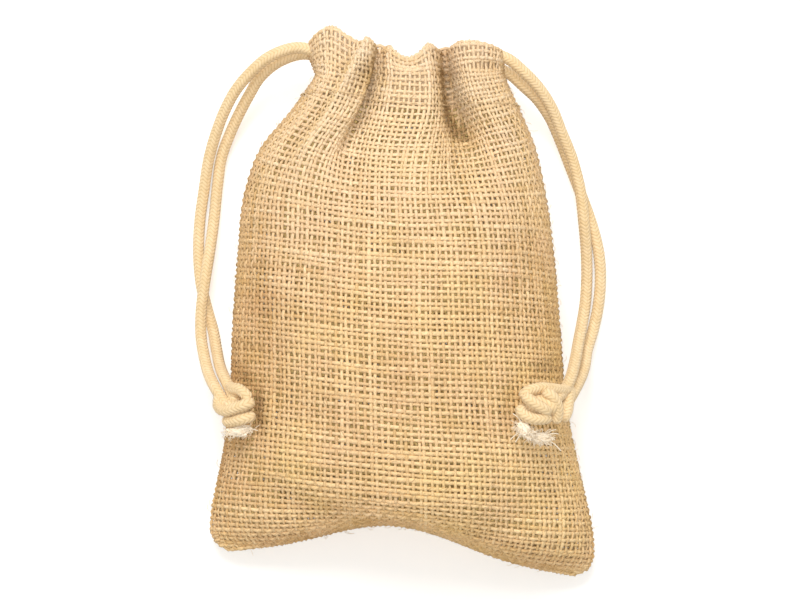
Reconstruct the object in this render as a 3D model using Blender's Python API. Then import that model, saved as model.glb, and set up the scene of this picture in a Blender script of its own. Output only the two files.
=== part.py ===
"""Burlap drawstring sack, lying plump on its back with its mouth drawn in.

Frame: +X to the right across the face, +Y from the bottom fold to the mouth, +Z up
out of the face. The origin is on the flat of the back, which rests at z = 0.
Tables are in millimetres and are turned into metres as each mesh is made.
"""

import math
from collections import namedtuple

import bmesh
import bpy
import numpy as np
from mathutils import Matrix, Vector

MM = 0.001

# ---------------------------------------------------------------- cloth sizes
CLOTH_THICKNESS = 1.4
SHEET_COLUMNS = 37          # points across the face, both side seams counted
SEAM_CLEARANCE = 0.8        # space kept between the inner walls at seams and fold
INNER_START = 0.035         # inner hollow starts this far above the bottom fold
CROWN_SHIFT = 0.10          # the crown stands this much to the right of the middle
BOW_CENTRE_X = -3.5         # middle of the drawn-in stretch of the bottom fold
BOW_WIDTH = 38.0

# Rows along the cloth, as fractions from the bottom fold (0) to the hem edge (1).
ROW_FRACTIONS = (
    0.0, 0.008, 0.022, 0.045, 0.075, 0.11, 0.15, 0.20, 0.26, 0.32, 0.38, 0.44, 0.50,
    0.56, 0.615, 0.66, 0.70, 0.735, 0.77, 0.80, 0.83, 0.86, 0.89, 0.915, 0.94, 0.965,
    0.985, 1.0,
)

# A row for each section of the body: where the two side seams lie in plan, how high
# the seams, the face and the back are, how far the bottom fold is drawn in there, and
# the power of the face's round from seam to seam (0.5 is an ellipse).
Section = namedtuple(
    "Section", "v left_x left_y right_x right_y seam_z face_z back_z bow power"
)
SECTIONS = (
    Section(0.00, -57.6, -74.7, 57.0, -83.3, 4.4, 15.0, 15.0, 12.2, 0.95),
    Section(0.01, -60.6, -73.6, 60.4, -82.2, 4.6, 19.5, 10.5, 11.2, 0.90),
    Section(0.03, -62.8, -70.4, 62.6, -79.2, 5.0, 24.5, 5.5, 8.6, 0.82),
    Section(0.07, -63.0, -64.8, 63.0, -73.0, 5.8, 31.0, 1.0, 4.4, 0.74),
    Section(0.12, -61.8, -57.8, 61.5, -64.0, 6.8, 36.5, -2.0, 1.4, 0.66),
    Section(0.20, -59.0, -46.0, 58.2, -50.0, 8.4, 40.5, -3.0, 0.0, 0.60),
    Section(0.32, -56.2, -26.5, 53.8, -28.5, 9.6, 42.5, -3.0, 0.0, 0.56),
    Section(0.46, -55.2, -2.0, 51.6, -3.0, 10.4, 42.5, -3.0, 0.0, 0.54),
    Section(0.60, -53.4, 22.5, 49.4, 22.0, 11.0, 41.5, -3.0, 0.0, 0.53),
    Section(0.72, -50.8, 43.5, 46.4, 43.0, 12.0, 39.5, -3.0, 0.0, 0.52),
    Section(0.80, -45.2, 57.0, 43.2, 57.0, 13.0, 37.5, -2.0, 0.0, 0.50),
    Section(0.86, -36.0, 68.0, 38.6, 68.0, 14.0, 35.0, 0.0, 0.0, 0.50),
    Section(0.91, -28.3, 79.0, 33.6, 79.0, 15.0, 33.0, 2.0, 0.0, 0.50),
    Section(1.00, -28.3, 88.0, 33.6, 88.0, 15.0, 32.0, 3.0, 0.0, 0.50),
)

# The gathers round the neck: a row for each crest and groove, once round from the left
# seam over the face to the right seam and back under. Places at the cord, then at the
# hem edge.
Gather = namedtuple("Gather", "name neck_x neck_z hem_x hem_y hem_z")
FACE_GATHERS = (
    Gather("left_seam", -28.3, 15.0, -31.8, 87.2, 16.0),
    Gather("left_shoulder", -27.6, 22.0, -29.4, 90.8, 23.0),
    Gather("left_lobe", -26.0, 26.2, -25.8, 93.5, 27.4),
    Gather("left_crown", -23.6, 28.4, -21.4, 94.0, 29.2),
    Gather("left_dip", -21.0, 28.2, -16.4, 90.2, 28.2),
    Gather("leaning_ridge", -17.2, 34.5, -12.5, 90.4, 32.6),
    Gather("ridge_fall", -9.8, 31.0, -8.4, 89.4, 30.6),
    Gather("left_groove", -9.6, 20.0, -7.2, 86.6, 22.0),
    Gather("panel_left", -4.8, 26.0, -4.9, 87.6, 25.6),
    Gather("panel_left_fall", -1.6, 27.8, -1.3, 84.9, 27.0),
    Gather("panel_middle", 2.2, 28.5, 2.2, 83.4, 27.5),
    Gather("panel_right_rise", 5.8, 28.4, 5.5, 85.3, 27.5),
    Gather("panel_right", 9.4, 27.6, 9.0, 88.9, 27.0),
    Gather("panel_edge", 12.0, 24.0, 11.8, 87.7, 24.0),
    Gather("right_groove", 14.2, 14.5, 13.4, 86.4, 16.0),
    Gather("right_bunch", 20.2, 27.0, 17.8, 88.9, 27.5),
    Gather("right_crown", 25.4, 29.0, 24.4, 89.3, 29.0),
    Gather("right_lobe", 30.2, 26.5, 30.6, 87.8, 26.0),
    Gather("right_seam", 33.6, 15.0, 33.4, 85.4, 15.0),
)
BACK_GATHERS = (
    Gather("back_lobe_a", 27.5, 4.5, 28.0, 88.0, 4.5),
    Gather("back_groove_a", 20.5, 11.0, 20.0, 87.0, 10.0),
    Gather("back_lobe_b", 12.0, 3.0, 13.0, 88.0, 3.0),
    Gather("back_groove_b", 5.0, 11.5, 5.0, 83.5, 11.0),
    Gather("back_lobe_c", -2.5, 3.0, -2.0, 83.5, 3.0),
    Gather("back_groove_c", -10.0, 11.5, -10.0, 86.0, 11.0),
    Gather("back_lobe_d", -17.0, 3.5, -17.5, 89.5, 3.5),
    Gather("back_groove_d", -22.0, 9.0, -24.0, 90.0, 9.0),
)
GATHER_START = 0.66         # the folds begin here
GATHER_FULL = 0.91          # and are full at the cord

# Creases pressed into the face: from one cloth place to another (s across from -1 at
# the left seam to 1 at the right, v along), half width, and height (negative sinks).
Crease = namedtuple("Crease", "name s0 v0 s1 v1 width height")
FACE_CREASES = (
    Crease("right_valley", 0.42, 0.88, 0.54, 0.79, 7.0, -7.0),
    Crease("right_valley_bank", 0.64, 0.90, 0.78, 0.76, 6.0, 2.0),
    Crease("right_flank_edge", 0.72, 0.72, 0.42, 0.52, 9.0, 1.6),
    Crease("cord_pucker", 0.68, 0.93, 0.92, 0.94, 2.6, -2.4),
    Crease("left_pocket", -0.44, 0.93, -0.50, 0.87, 4.0, -3.2),
    Crease("ridge_foot", -0.66, 0.90, -0.78, 0.80, 5.0, 2.2),
    Crease("left_flank_edge", -0.80, 0.65, -0.50, 0.44, 9.0, 1.6),
    Crease("left_shoulder_ridge", -0.52, 0.88, -0.84, 0.62, 7.0, 1.8),
    Crease("left_shoulder_trough", -0.30, 0.84, -0.58, 0.60, 7.0, -1.4),
    Crease("lower_left_trough", -0.22, 0.05, -0.74, 0.17, 9.0, -3.2),
    Crease("lower_right_trough", 0.26, 0.05, 0.78, 0.19, 10.0, -2.6),
    Crease("left_side_dent", -0.62, 0.30, -0.70, 0.46, 14.0, -1.2),
)

ARC_SAMPLES = 241           # samples used to measure along a curve
NORMAL_STEP = 0.004
BACK_ROUNDER = 0.16         # the back turns in more squarely than the face
CREASE_END = 0.35           # share of a crease's height left at its ends
CREASE_CLEAR = 0.06         # creases start this far above the bottom fold
CREASE_EDGE = 2.0           # how steeply they fade out at the side seams
FLAT_WIDTH = 130.0          # the empty sack laid flat, seam to seam
FLAT_LENGTH = 180.0         # and from the bottom fold to the hem edge

# --------------------------------------------------------- drawstring sizes
CORD_DIAMETER = 3.8
CORD_POINT_SPACING = 9.0
TUBE_POINT_SPACING = 1.6
TUBE_SIDES = 10
TUBE_END_TAPER = (0.45, 0.85, 1.0)
KNOT_VOXEL = 0.95

# Routes of the four free strands, from the neck to the knots.
CORD_ROUTES = {
    "cord_left_under": (
        (-32.6, 87.7, 18.4), (-42.0, 85.3, 17.0), (-49.4, 79.5, 14.2), (-53.9, 74.3, 11.6),
        (-57.6, 67.8, 8.8), (-60.6, 60.4, 6.0), (-62.9, 52.6, 4.0), (-64.6, 42.3, 2.3),
        (-65.9, 33.0, 2.0), (-66.4, 22.0, 2.0), (-65.6, 12.0, 2.0), (-63.2, 2.0, 2.0),
        (-61.6, -3.4, 3.2), (-60.3, -9.8, 6.6), (-59.0, -14.9, 11.4), (-56.1, -20.8, 19.3),
    ),
    "cord_left_over": (
        (-31.35, 86.0, 13.8), (-39.0, 84.0, 12.6), (-45.9, 78.8, 10.4), (-49.7, 73.0, 7.8),
        (-53.3, 66.5, 5.4), (-56.4, 59.8, 3.4), (-58.8, 53.3, 2.2), (-60.2, 44.0, 2.0),
        (-61.2, 34.0, 2.4), (-62.4, 24.0, 4.4), (-64.2, 12.0, 6.3), (-65.4, 2.0, 6.0),
        (-65.4, -5.0, 6.2), (-64.2, -11.6, 9.6), (-62.6, -17.0, 14.0), (-59.35, -22.9, 20.7),
    ),
    "cord_right_over": (
        (34.7, 83.8, 18.2), (38.8, 80.4, 17.6), (43.9, 75.3, 15.6), (48.5, 68.5, 12.6),
        (51.7, 61.0, 9.8), (55.2, 52.6, 7.4), (57.9, 42.3, 6.4), (59.2, 31.6, 5.8),
        (60.1, 22.0, 3.4), (60.3, 13.0, 2.0), (59.8, 5.6, 2.6), (58.6, -1.2, 5.6),
        (57.3, -7.0, 9.8), (56.1, -12.2, 15.0), (54.0, -19.0, 21.9),
    ),
    "cord_right_under": (
        (35.0, 79.4, 13.4), (39.4, 75.6, 12.4), (43.8, 71.6, 10.4), (48.0, 65.8, 7.8),
        (51.4, 58.6, 5.2), (54.8, 50.2, 3.0), (58.4, 41.0, 2.1), (61.8, 31.6, 2.0),
        (64.35, 21.0, 2.0), (64.7, 11.0, 2.0), (63.8, 3.0, 2.0), (62.1, -4.2, 2.8),
        (60.2, -10.0, 6.0), (59.3, -14.6, 10.0), (55.5, -22.6, 19.6),
    ),
}

# Each knot: the turns of cord that show, drawn tight round a core.
Knot = namedtuple("Knot", "name turns core core_radii")
KNOTS = (
    Knot(
        "knot_left",
        (
            ((-58.5, -23.5, 21.4), (-58.9, -27.4, 22.2), (-56.6, -29.0, 26.0),
             (-52.6, -27.8, 28.8), (-49.2, -26.6, 29.3), (-48.0, -26.2, 27.4)),
            ((-55.4, -31.4, 21.8), (-55.9, -32.4, 24.0), (-53.6, -32.3, 27.0),
             (-50.6, -31.5, 28.5), (-48.6, -30.8, 27.8), (-48.0, -30.4, 26.4)),
            ((-55.5, -21.2, 19.9), (-54.2, -21.9, 23.4), (-52.0, -22.2, 26.0),
             (-50.0, -23.8, 27.7), (-48.6, -25.4, 27.6)),
        ),
        (-53.4, -28.6, 24.1), (4.4, 4.6, 3.2),
    ),
    Knot(
        "knot_right",
        (
            ((53.9, -21.6, 20.9), (51.6, -22.4, 27.0), (47.6, -21.8, 32.0),
             (43.0, -21.6, 35.4), (39.4, -22.9, 37.0), (38.0, -25.0, 36.8)),
            ((38.4, -23.6, 37.6), (41.6, -26.0, 39.4), (45.2, -28.2, 38.4),
             (46.4, -29.2, 36.4)),
            ((37.6, -27.0, 36.8), (38.0, -29.2, 38.2), (41.0, -31.0, 38.8),
             (45.0, -31.2, 37.2), (46.8, -30.8, 35.0)),
            ((44.6, -22.6, 36.4), (47.2, -23.8, 36.8), (49.2, -26.8, 35.6),
             (49.4, -30.2, 34.2), (48.4, -32.6, 33.2)),
            ((54.1, -21.8, 20.9), (53.3, -25.4, 25.8), (52.6, -29.4, 28.2),
             (51.2, -32.2, 29.8)),
        ),
        (44.6, -26.8, 34.6), (6.2, 4.8, 3.4),
    ),
)

# Frayed cord ends, one solid for each knot's: centre, radii, the way the yarns point
# (0 is to the bottom fold, positive to the right) and how far they reach.
Fray = namedtuple("Fray", "name centre radii heading reach")
FRAYS = (
    Fray("fray_left", (-52.4, -36.1, 26.1), (4.3, 1.7, 1.7), 0.0, 0.9),
    Fray("fray_right_a", (38.0, -34.9, 38.0), (3.0, 2.2, 1.8), 0.2, 0.9),
    Fray("fray_right_b", (45.6, -36.0, 33.6), (3.2, 2.2, 1.8), 0.2, 0.9),
)
FRAY_ROOT_LIMIT = 0.0       # yarns stand on the half of the cut end they point from
FRAY_LOWEST = -0.35         # and none points down into the cloth
FRAY_TAPER = 0.3
FRAY_SHORTEST = 0.5         # share of the reach, and the swing from yarn to yarn
FRAY_SWING = 2.4

BURLAP_COLOUR = (0.64, 0.46, 0.26)
CORD_COLOUR = (0.80, 0.66, 0.42)
FRAY_COLOUR = (0.88, 0.80, 0.64)
CLOTH_ROUGHNESS = 0.95
CORD_ROUGHNESS = 0.85


# ------------------------------------------------------------ cloth geometry
def smooth_step(value):
    """Ease from 0 to 1."""
    t = np.clip(value, 0.0, 1.0)
    return t * t * (3.0 - 2.0 * t)


def spline(knots, values, places):
    """Read a smooth curve through values at knots, with slopes by its neighbours."""
    knots = np.asarray(knots, float)
    values = np.asarray(values, float)
    slopes = np.gradient(values, knots)
    span = np.clip(np.searchsorted(knots, places, side="right") - 1, 0, len(knots) - 2)
    width = knots[span + 1] - knots[span]
    t = (places - knots[span]) / width
    start = (2 * t**3 - 3 * t**2 + 1) * values[span]
    start = start + (t**3 - 2 * t**2 + t) * width * slopes[span]
    end = (3 * t**2 - 2 * t**3) * values[span + 1]
    end = end + (t**3 - t**2) * width * slopes[span + 1]
    return start + end


def section_value(column, v):
    """A column of SECTIONS read at the fractions v, one row for each."""
    knots = [row.v for row in SECTIONS]
    values = [getattr(row, column) for row in SECTIONS]
    return spline(knots, values, v)[:, None]


def body_sheet(s, v, face):
    """The plump body's face or back at cloth places s (rows of v), as x, y, z."""
    fine = np.sin(np.linspace(-0.5, 0.5, ARC_SAMPLES) * math.pi)[None, :]
    left_x, right_x = section_value("left_x", v), section_value("right_x", v)
    seam_z = section_value("seam_z", v)
    power = section_value("power", v)
    if face:
        leaned = np.clip(fine - CROWN_SHIFT * (1.0 - fine**2), -1.0, 1.0)
        rise = section_value("face_z", v) - seam_z
        z = seam_z + rise * (1.0 - leaned**2) ** power
    else:
        fall = seam_z - section_value("back_z", v)
        z = seam_z - fall * (1.0 - fine**2) ** (power - BACK_ROUNDER)
    x = left_x + (right_x - left_x) * (fine + 1.0) / 2.0
    steps = np.hypot(np.diff(x, axis=1), np.diff(z, axis=1))
    length = np.concatenate([np.zeros((len(v), 1)), np.cumsum(steps, axis=1)], axis=1)
    share = 2.0 * length / length[:, -1:] - 1.0
    across = np.array([np.interp(p, row, fine[0]) for p, row in zip(s, share)])
    z = np.array([np.interp(q, fine[0], row) for q, row in zip(across, z)])
    x = left_x + (right_x - left_x) * (across + 1.0) / 2.0
    left_y, right_y = section_value("left_y", v), section_value("right_y", v)
    bow = section_value("bow", v) * np.exp(-(((x - BOW_CENTRE_X) / BOW_WIDTH) ** 2))
    y = left_y + (right_y - left_y) * (across + 1.0) / 2.0 + bow * (1.0 - across**2)
    return np.stack([x, y, z], axis=-1)


def gather_sheet(s, v, face):
    """The gathered neck at cloth places s (rows of v): folds that fan out downwards."""
    rows = FACE_GATHERS if face else (FACE_GATHERS[-1],) + BACK_GATHERS + (FACE_GATHERS[0],)
    neck = np.array([(r.neck_x, 0.0, r.neck_z) for r in rows])
    hem = np.array([(r.hem_x, r.hem_y, r.hem_z) for r in rows])
    chord = np.linalg.norm(np.diff(neck, axis=0), axis=1)
    knots = np.concatenate([[0.0], np.cumsum(chord)])
    knots = 2.0 * knots / knots[-1] - 1.0
    places = s if face else -s
    at_neck = np.stack([spline(knots, neck[:, i], places) for i in range(3)], axis=-1)
    at_hem = np.stack([spline(knots, hem[:, i], places) for i in range(3)], axis=-1)
    share = (at_neck[..., 0] - FACE_GATHERS[0].neck_x)
    share = share / (FACE_GATHERS[-1].neck_x - FACE_GATHERS[0].neck_x)
    below = np.minimum(v, GATHER_FULL)
    for axis, ends in ((0, ("left_x", "right_x")), (1, ("left_y", "right_y"))):
        left, right = (section_value(end, below) for end in ends)
        at_neck[..., axis] = left + (right - left) * share
    above = np.clip((v - GATHER_FULL) / (1.0 - GATHER_FULL), 0.0, 1.0)[:, None, None]
    return at_neck + (at_hem - at_neck) * above


def crease_heights(s, v):
    """How far the creases lift or sink the face."""
    across = s * FLAT_WIDTH / 2.0
    along = v[:, None] * FLAT_LENGTH
    height = np.zeros_like(across)
    for crease in FACE_CREASES:
        start_s, start_v = crease.s0 * FLAT_WIDTH / 2.0, crease.v0 * FLAT_LENGTH
        run_s = crease.s1 * FLAT_WIDTH / 2.0 - start_s
        run_v = crease.v1 * FLAT_LENGTH - start_v
        t = (across - start_s) * run_s + (along - start_v) * run_v
        t = np.clip(t / (run_s**2 + run_v**2), 0.0, 1.0)
        away = np.hypot(across - start_s - t * run_s, along - start_v - t * run_v)
        fade = CREASE_END + (1.0 - CREASE_END) * np.sin(math.pi * t)
        height += crease.height * fade * np.exp(-((away / crease.width) ** 2))
    return height


def cloth_sheet(s, v, face):
    """Outer side of the cloth, face or back, at cloth places s across and v along."""
    body = body_sheet(s, v, face)
    gather = gather_sheet(s, v, face)
    weight = (v - GATHER_START) / (GATHER_FULL - GATHER_START)
    weight = smooth_step(weight)[:, None, None]
    sheet = body * (1.0 - weight) + gather * weight
    if face:
        clear_of_edges = np.clip(CREASE_EDGE * (1.0 - s**2), 0.0, 1.0)
        clear_of_edges = clear_of_edges * smooth_step(v / CREASE_CLEAR)[:, None]
        sheet[..., 2] += crease_heights(s, v) * clear_of_edges
    sheet[..., 2] = np.maximum(sheet[..., 2], 0.0)
    return sheet


def cloth_normals(s, v, face):
    """Outward normals of the cloth's outer side."""
    across = cloth_sheet(np.clip(s + NORMAL_STEP, -1, 1), v, face)
    across = across - cloth_sheet(np.clip(s - NORMAL_STEP, -1, 1), v, face)
    along = cloth_sheet(s, np.clip(v + NORMAL_STEP, 0, 1), face)
    along = along - cloth_sheet(s, np.clip(v - NORMAL_STEP, 0, 1), face)
    normal = np.cross(across, along) if face else np.cross(along, across)
    return normal / np.maximum(np.linalg.norm(normal, axis=-1, keepdims=True), 1e-9)


def outer_sheets():
    """Grids of points on the face and the back of the sack's outer side."""
    v = np.array(ROW_FRACTIONS)
    s = np.tile(np.linspace(-1.0, 1.0, SHEET_COLUMNS), (len(v), 1))
    face, back = cloth_sheet(s, v, True), cloth_sheet(s, v, False)
    back[:, 0], back[:, -1] = face[:, 0], face[:, -1]
    back[0] = face[0]
    return face, back


def inner_sheets():
    """The same grids a cloth's thickness inside, held clear of seams and fold."""
    v = INNER_START + (1.0 - INNER_START) * np.array(ROW_FRACTIONS)
    probe = np.tile(np.linspace(0.0, 1.0, ARC_SAMPLES), (len(v), 1))
    need = 2.0 * CLOTH_THICKNESS + SEAM_CLEARANCE
    reach = []
    for side in (-1.0, 1.0):
        gap = cloth_sheet(probe * side, v, True) - cloth_sheet(probe * side, v, False)
        closed = gap[..., 2] < need
        closed[:, -1] = True
        reach.append(probe[0][np.argmax(closed, axis=1)] - 1.0 / ARC_SAMPLES)
    share = np.linspace(-1.0, 1.0, SHEET_COLUMNS)[None, :]
    s = np.where(share < 0.0, share * reach[0][:, None], share * reach[1][:, None])
    sheets = []
    for face in (True, False):
        outer = cloth_sheet(s, v, face)
        sheets.append(outer - CLOTH_THICKNESS * cloth_normals(s, v, face))
    face, back = sheets
    back[..., 2] = np.maximum(back[..., 2], CLOTH_THICKNESS)
    for column in (0, -1):
        face[:, column] = (face[:, column] + back[:, column]) / 2.0
        back[:, column] = face[:, column]
    face[0] = (face[0] + back[0]) / 2.0
    back[0] = face[0]
    return face, back


def shell_faces(bm, face, back, outwards):
    """Skin a face grid and a back grid that share seams and fold; return the rim loop."""
    rows, columns = face.shape[:2]
    front = [[bm.verts.new(Vector(p) * MM) for p in row] for row in face]
    rear = []
    for j, row in enumerate(back):
        inner = [] if j == 0 else [bm.verts.new(Vector(p) * MM) for p in row[1:-1]]
        rear.append(front[0] if j == 0 else [front[j][0], *inner, front[j][-1]])
    for grid, flip in ((front, not outwards), (rear, outwards)):
        for j in range(rows - 1):
            for i in range(columns - 1):
                corners = (grid[j][i], grid[j][i + 1], grid[j + 1][i + 1], grid[j + 1][i])
                bm.faces.new(reversed(corners) if flip else corners)
    return front[-1] + rear[-1][-2:0:-1]


def make_sack():
    """The sack's cloth: one hollow, open-mouthed sheet, folded at the bottom."""
    bm = bmesh.new()
    outer = shell_faces(bm, *outer_sheets(), True)
    inner = shell_faces(bm, *inner_sheets(), False)
    for i, corner in enumerate(outer):
        following = (i + 1) % len(outer)
        bm.faces.new((corner, outer[following], inner[following], inner[i]))
    sack = mesh_object("sack", bm)
    dress(sack, "burlap", BURLAP_COLOUR, CLOTH_ROUGHNESS)
    return sack


# ------------------------------------------------------------- cord geometry
def smooth_route(points, spacing):
    """Points a given spacing apart on a smooth curve through a route's own points."""
    route = np.array(points, float)
    chord = np.linalg.norm(np.diff(route, axis=0), axis=1)
    knots = np.concatenate([[0.0], np.cumsum(chord)])
    fine = np.linspace(0.0, knots[-1], ARC_SAMPLES)
    curve = np.stack([spline(knots, route[:, i], fine) for i in range(3)], axis=-1)
    steps = np.linalg.norm(np.diff(curve, axis=0), axis=1)
    length = np.concatenate([[0.0], np.cumsum(steps)])
    count = max(2, round(length[-1] / spacing)) + 1
    places = np.linspace(0.0, length[-1], count)
    return np.stack([np.interp(places, length, curve[:, i]) for i in range(3)], axis=-1)


def make_cord(name, route):
    """A length of cord as a round tube with filled ends."""
    points = smooth_route(route, CORD_POINT_SPACING)
    curve = bpy.data.curves.new(name, "CURVE")
    curve.dimensions = "3D"
    curve.bevel_depth = CORD_DIAMETER / 2.0 * MM
    curve.bevel_resolution = 2
    curve.use_fill_caps = True
    line = curve.splines.new("POLY")
    line.points.add(len(points) - 1)
    for place, point in zip(line.points, points):
        place.co = (*(point * MM), 1.0)
    cord = bpy.data.objects.new(name, curve)
    bpy.context.collection.objects.link(cord)
    dress(cord, "cotton_cord", CORD_COLOUR, CORD_ROUGHNESS)
    return cord


def add_tube(bm, points, radius):
    """A closed tube with round ends through points, for a turn of a knot."""
    rings = []
    for index, point in enumerate(points):
        ahead = points[min(index + 1, len(points) - 1)] - points[max(index - 1, 0)]
        turn = Vector(ahead).to_track_quat("Z", "Y")
        end = min(index, len(points) - 1 - index)
        width = radius * TUBE_END_TAPER[min(end, len(TUBE_END_TAPER) - 1)]
        ring = []
        for k in range(TUBE_SIDES):
            angle = 2.0 * math.pi * k / TUBE_SIDES
            spoke = Vector((math.cos(angle) * width, math.sin(angle) * width, 0.0))
            ring.append(bm.verts.new((Vector(point) + turn @ spoke) * MM))
        rings.append(ring)
    for lower, upper in zip(rings, rings[1:]):
        for k in range(TUBE_SIDES):
            after = (k + 1) % TUBE_SIDES
            bm.faces.new((lower[k], lower[after], upper[after], upper[k]))
    bm.faces.new(reversed(rings[0]))
    bm.faces.new(rings[-1])


def make_knot(knot):
    """An overhand knot: its turns of cord drawn tight round a core, one solid."""
    bm = bmesh.new()
    for turn in knot.turns:
        add_tube(bm, smooth_route(turn, TUBE_POINT_SPACING), CORD_DIAMETER / 2.0)
    place = Matrix.Translation(Vector(knot.core) * MM)
    size = Matrix.Diagonal((*(Vector(knot.core_radii) * MM), 1.0))
    bmesh.ops.create_icosphere(bm, subdivisions=2, radius=1.0, matrix=place @ size)
    tied = mesh_object(knot.name, bm)
    skin = tied.modifiers.new("drawn_tight", "REMESH")
    skin.mode = "VOXEL"
    skin.voxel_size = KNOT_VOXEL * MM
    dress(tied, "cotton_cord", CORD_COLOUR, CORD_ROUGHNESS)
    return tied


def make_fray(fray):
    """A frayed cord end: yarns standing out of the cut end that holds their roots."""
    bm = bmesh.new()
    bmesh.ops.create_icosphere(bm, subdivisions=2, radius=1.0)
    forward = Vector((math.sin(fray.heading), -math.cos(fray.heading), 0.0))
    roots = []
    for face in bm.faces:
        away = face.calc_center_median()
        if away.dot(forward) > FRAY_ROOT_LIMIT and away.z > FRAY_LOWEST:
            roots.append(face)
    for index, root in enumerate(roots):
        away = root.calc_center_median()
        swing = math.sin(FRAY_SWING * index) ** 2
        length = fray.reach * (FRAY_SHORTEST + (1.0 - FRAY_SHORTEST) * swing)
        yarn = bmesh.ops.extrude_discrete_faces(bm, faces=[root])["faces"][0]
        bmesh.ops.translate(bm, verts=yarn.verts, vec=away * length)
        middle = yarn.calc_center_median()
        for corner in yarn.verts:
            corner.co = middle + (corner.co - middle) * FRAY_TAPER
    size = Matrix.Diagonal((*(Vector(fray.radii) * MM), 1.0))
    bm.transform(Matrix.Translation(Vector(fray.centre) * MM) @ size)
    frayed = mesh_object(fray.name, bm)
    dress(frayed, "frayed_cotton", FRAY_COLOUR, CLOTH_ROUGHNESS)
    return frayed


# ------------------------------------------------------------------ objects
def mesh_object(name, bm):
    """Put a finished mesh into the scene as a smooth-shaded object."""
    mesh = bpy.data.meshes.new(name)
    bm.normal_update()
    bm.to_mesh(mesh)
    bm.free()
    mesh.shade_smooth()
    built = bpy.data.objects.new(name, mesh)
    bpy.context.collection.objects.link(built)
    return built


def dress(built, name, colour, roughness):
    """Give an object its material, made the first time it is asked for."""
    material = bpy.data.materials.get(name) or bpy.data.materials.new(name)
    material.use_nodes = True
    surface = material.node_tree.nodes["Principled BSDF"]
    surface.inputs["Base Color"].default_value = (*colour, 1.0)
    surface.inputs["Roughness"].default_value = roughness
    surface.inputs["Metallic"].default_value = 0.0
    built.data.materials.append(material)


def build():
    """Clear the scene and build every piece."""
    for old in list(bpy.data.objects):
        bpy.data.objects.remove(old, do_unlink=True)
    make_sack()
    for name, route in CORD_ROUTES.items():
        make_cord(name, route)
    for knot in KNOTS:
        make_knot(knot)
    for fray in FRAYS:
        make_fray(fray)


build()
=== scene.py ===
"""Burlap drawstring sack dressed for show: woven jute cloth and braided cotton cords.

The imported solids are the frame. Each piece here is laid over them from the same named
sizes: the cloth is woven yarn by yarn on the sack's own surface, and the cords, knots
and frayed ends follow the drawstrings' routes. Tables are in millimetres, in the
frame's axes: +X right across the face, +Y to the mouth, +Z up out of the face.
"""

import logging
import math
from collections import namedtuple
from dataclasses import dataclass, field
from enum import Enum

import bpy
import numpy as np
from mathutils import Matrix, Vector


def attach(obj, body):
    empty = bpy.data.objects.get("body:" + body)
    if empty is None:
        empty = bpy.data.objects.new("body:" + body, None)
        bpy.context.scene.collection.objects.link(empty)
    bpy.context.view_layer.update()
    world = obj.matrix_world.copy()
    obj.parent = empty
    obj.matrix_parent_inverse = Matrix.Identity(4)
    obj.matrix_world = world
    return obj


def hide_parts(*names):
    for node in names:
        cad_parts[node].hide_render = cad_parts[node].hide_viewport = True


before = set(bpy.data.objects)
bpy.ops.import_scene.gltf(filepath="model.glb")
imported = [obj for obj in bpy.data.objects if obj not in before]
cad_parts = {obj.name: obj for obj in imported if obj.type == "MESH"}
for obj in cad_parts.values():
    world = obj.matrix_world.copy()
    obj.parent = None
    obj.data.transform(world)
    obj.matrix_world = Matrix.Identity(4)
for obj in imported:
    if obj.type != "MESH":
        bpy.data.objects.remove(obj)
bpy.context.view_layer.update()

LOG = logging.getLogger("sack")
MM = 0.001
Pair = tuple[float, float]
Triple = tuple[float, float, float]
Colour = Triple
Array = np.ndarray
Mesh = bpy.types.Mesh
Piece = bpy.types.Object
Material = bpy.types.Material
Tree = bpy.types.NodeTree
Socket = bpy.types.NodeSocket

# ------------------------------------------------------------- sack cloth tables
CROWN_SHIFT = 0.10          # the crown stands this much to the right of the middle
BOW_CENTRE_X = -3.5         # middle of the drawn-in stretch of the bottom fold
BOW_WIDTH = 38.0
GATHER_START = 0.66         # the folds begin here
GATHER_FULL = 0.91          # and are full at the cord
BACK_ROUNDER = 0.16         # the back turns in more squarely than the face
CREASE_END = 0.35           # share of a crease's height left at its ends
CREASE_CLEAR = 0.06         # creases start this far above the bottom fold
CREASE_EDGE = 2.0           # how steeply they fade out at the side seams
FLAT_WIDTH = 130.0          # the empty sack laid flat, seam to seam
FLAT_LENGTH = 180.0         # and from the bottom fold to the hem edge
HEART_HEIGHT = 15.0         # a line well inside the sack, and its run along it
HEART_RUN = (-50.0, 75.0)
ARC_SAMPLES = 241           # samples used to measure along a curve
NORMAL_STEP = 0.004
TINY = 1e-9                 # keeps a division clear of nought

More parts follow.
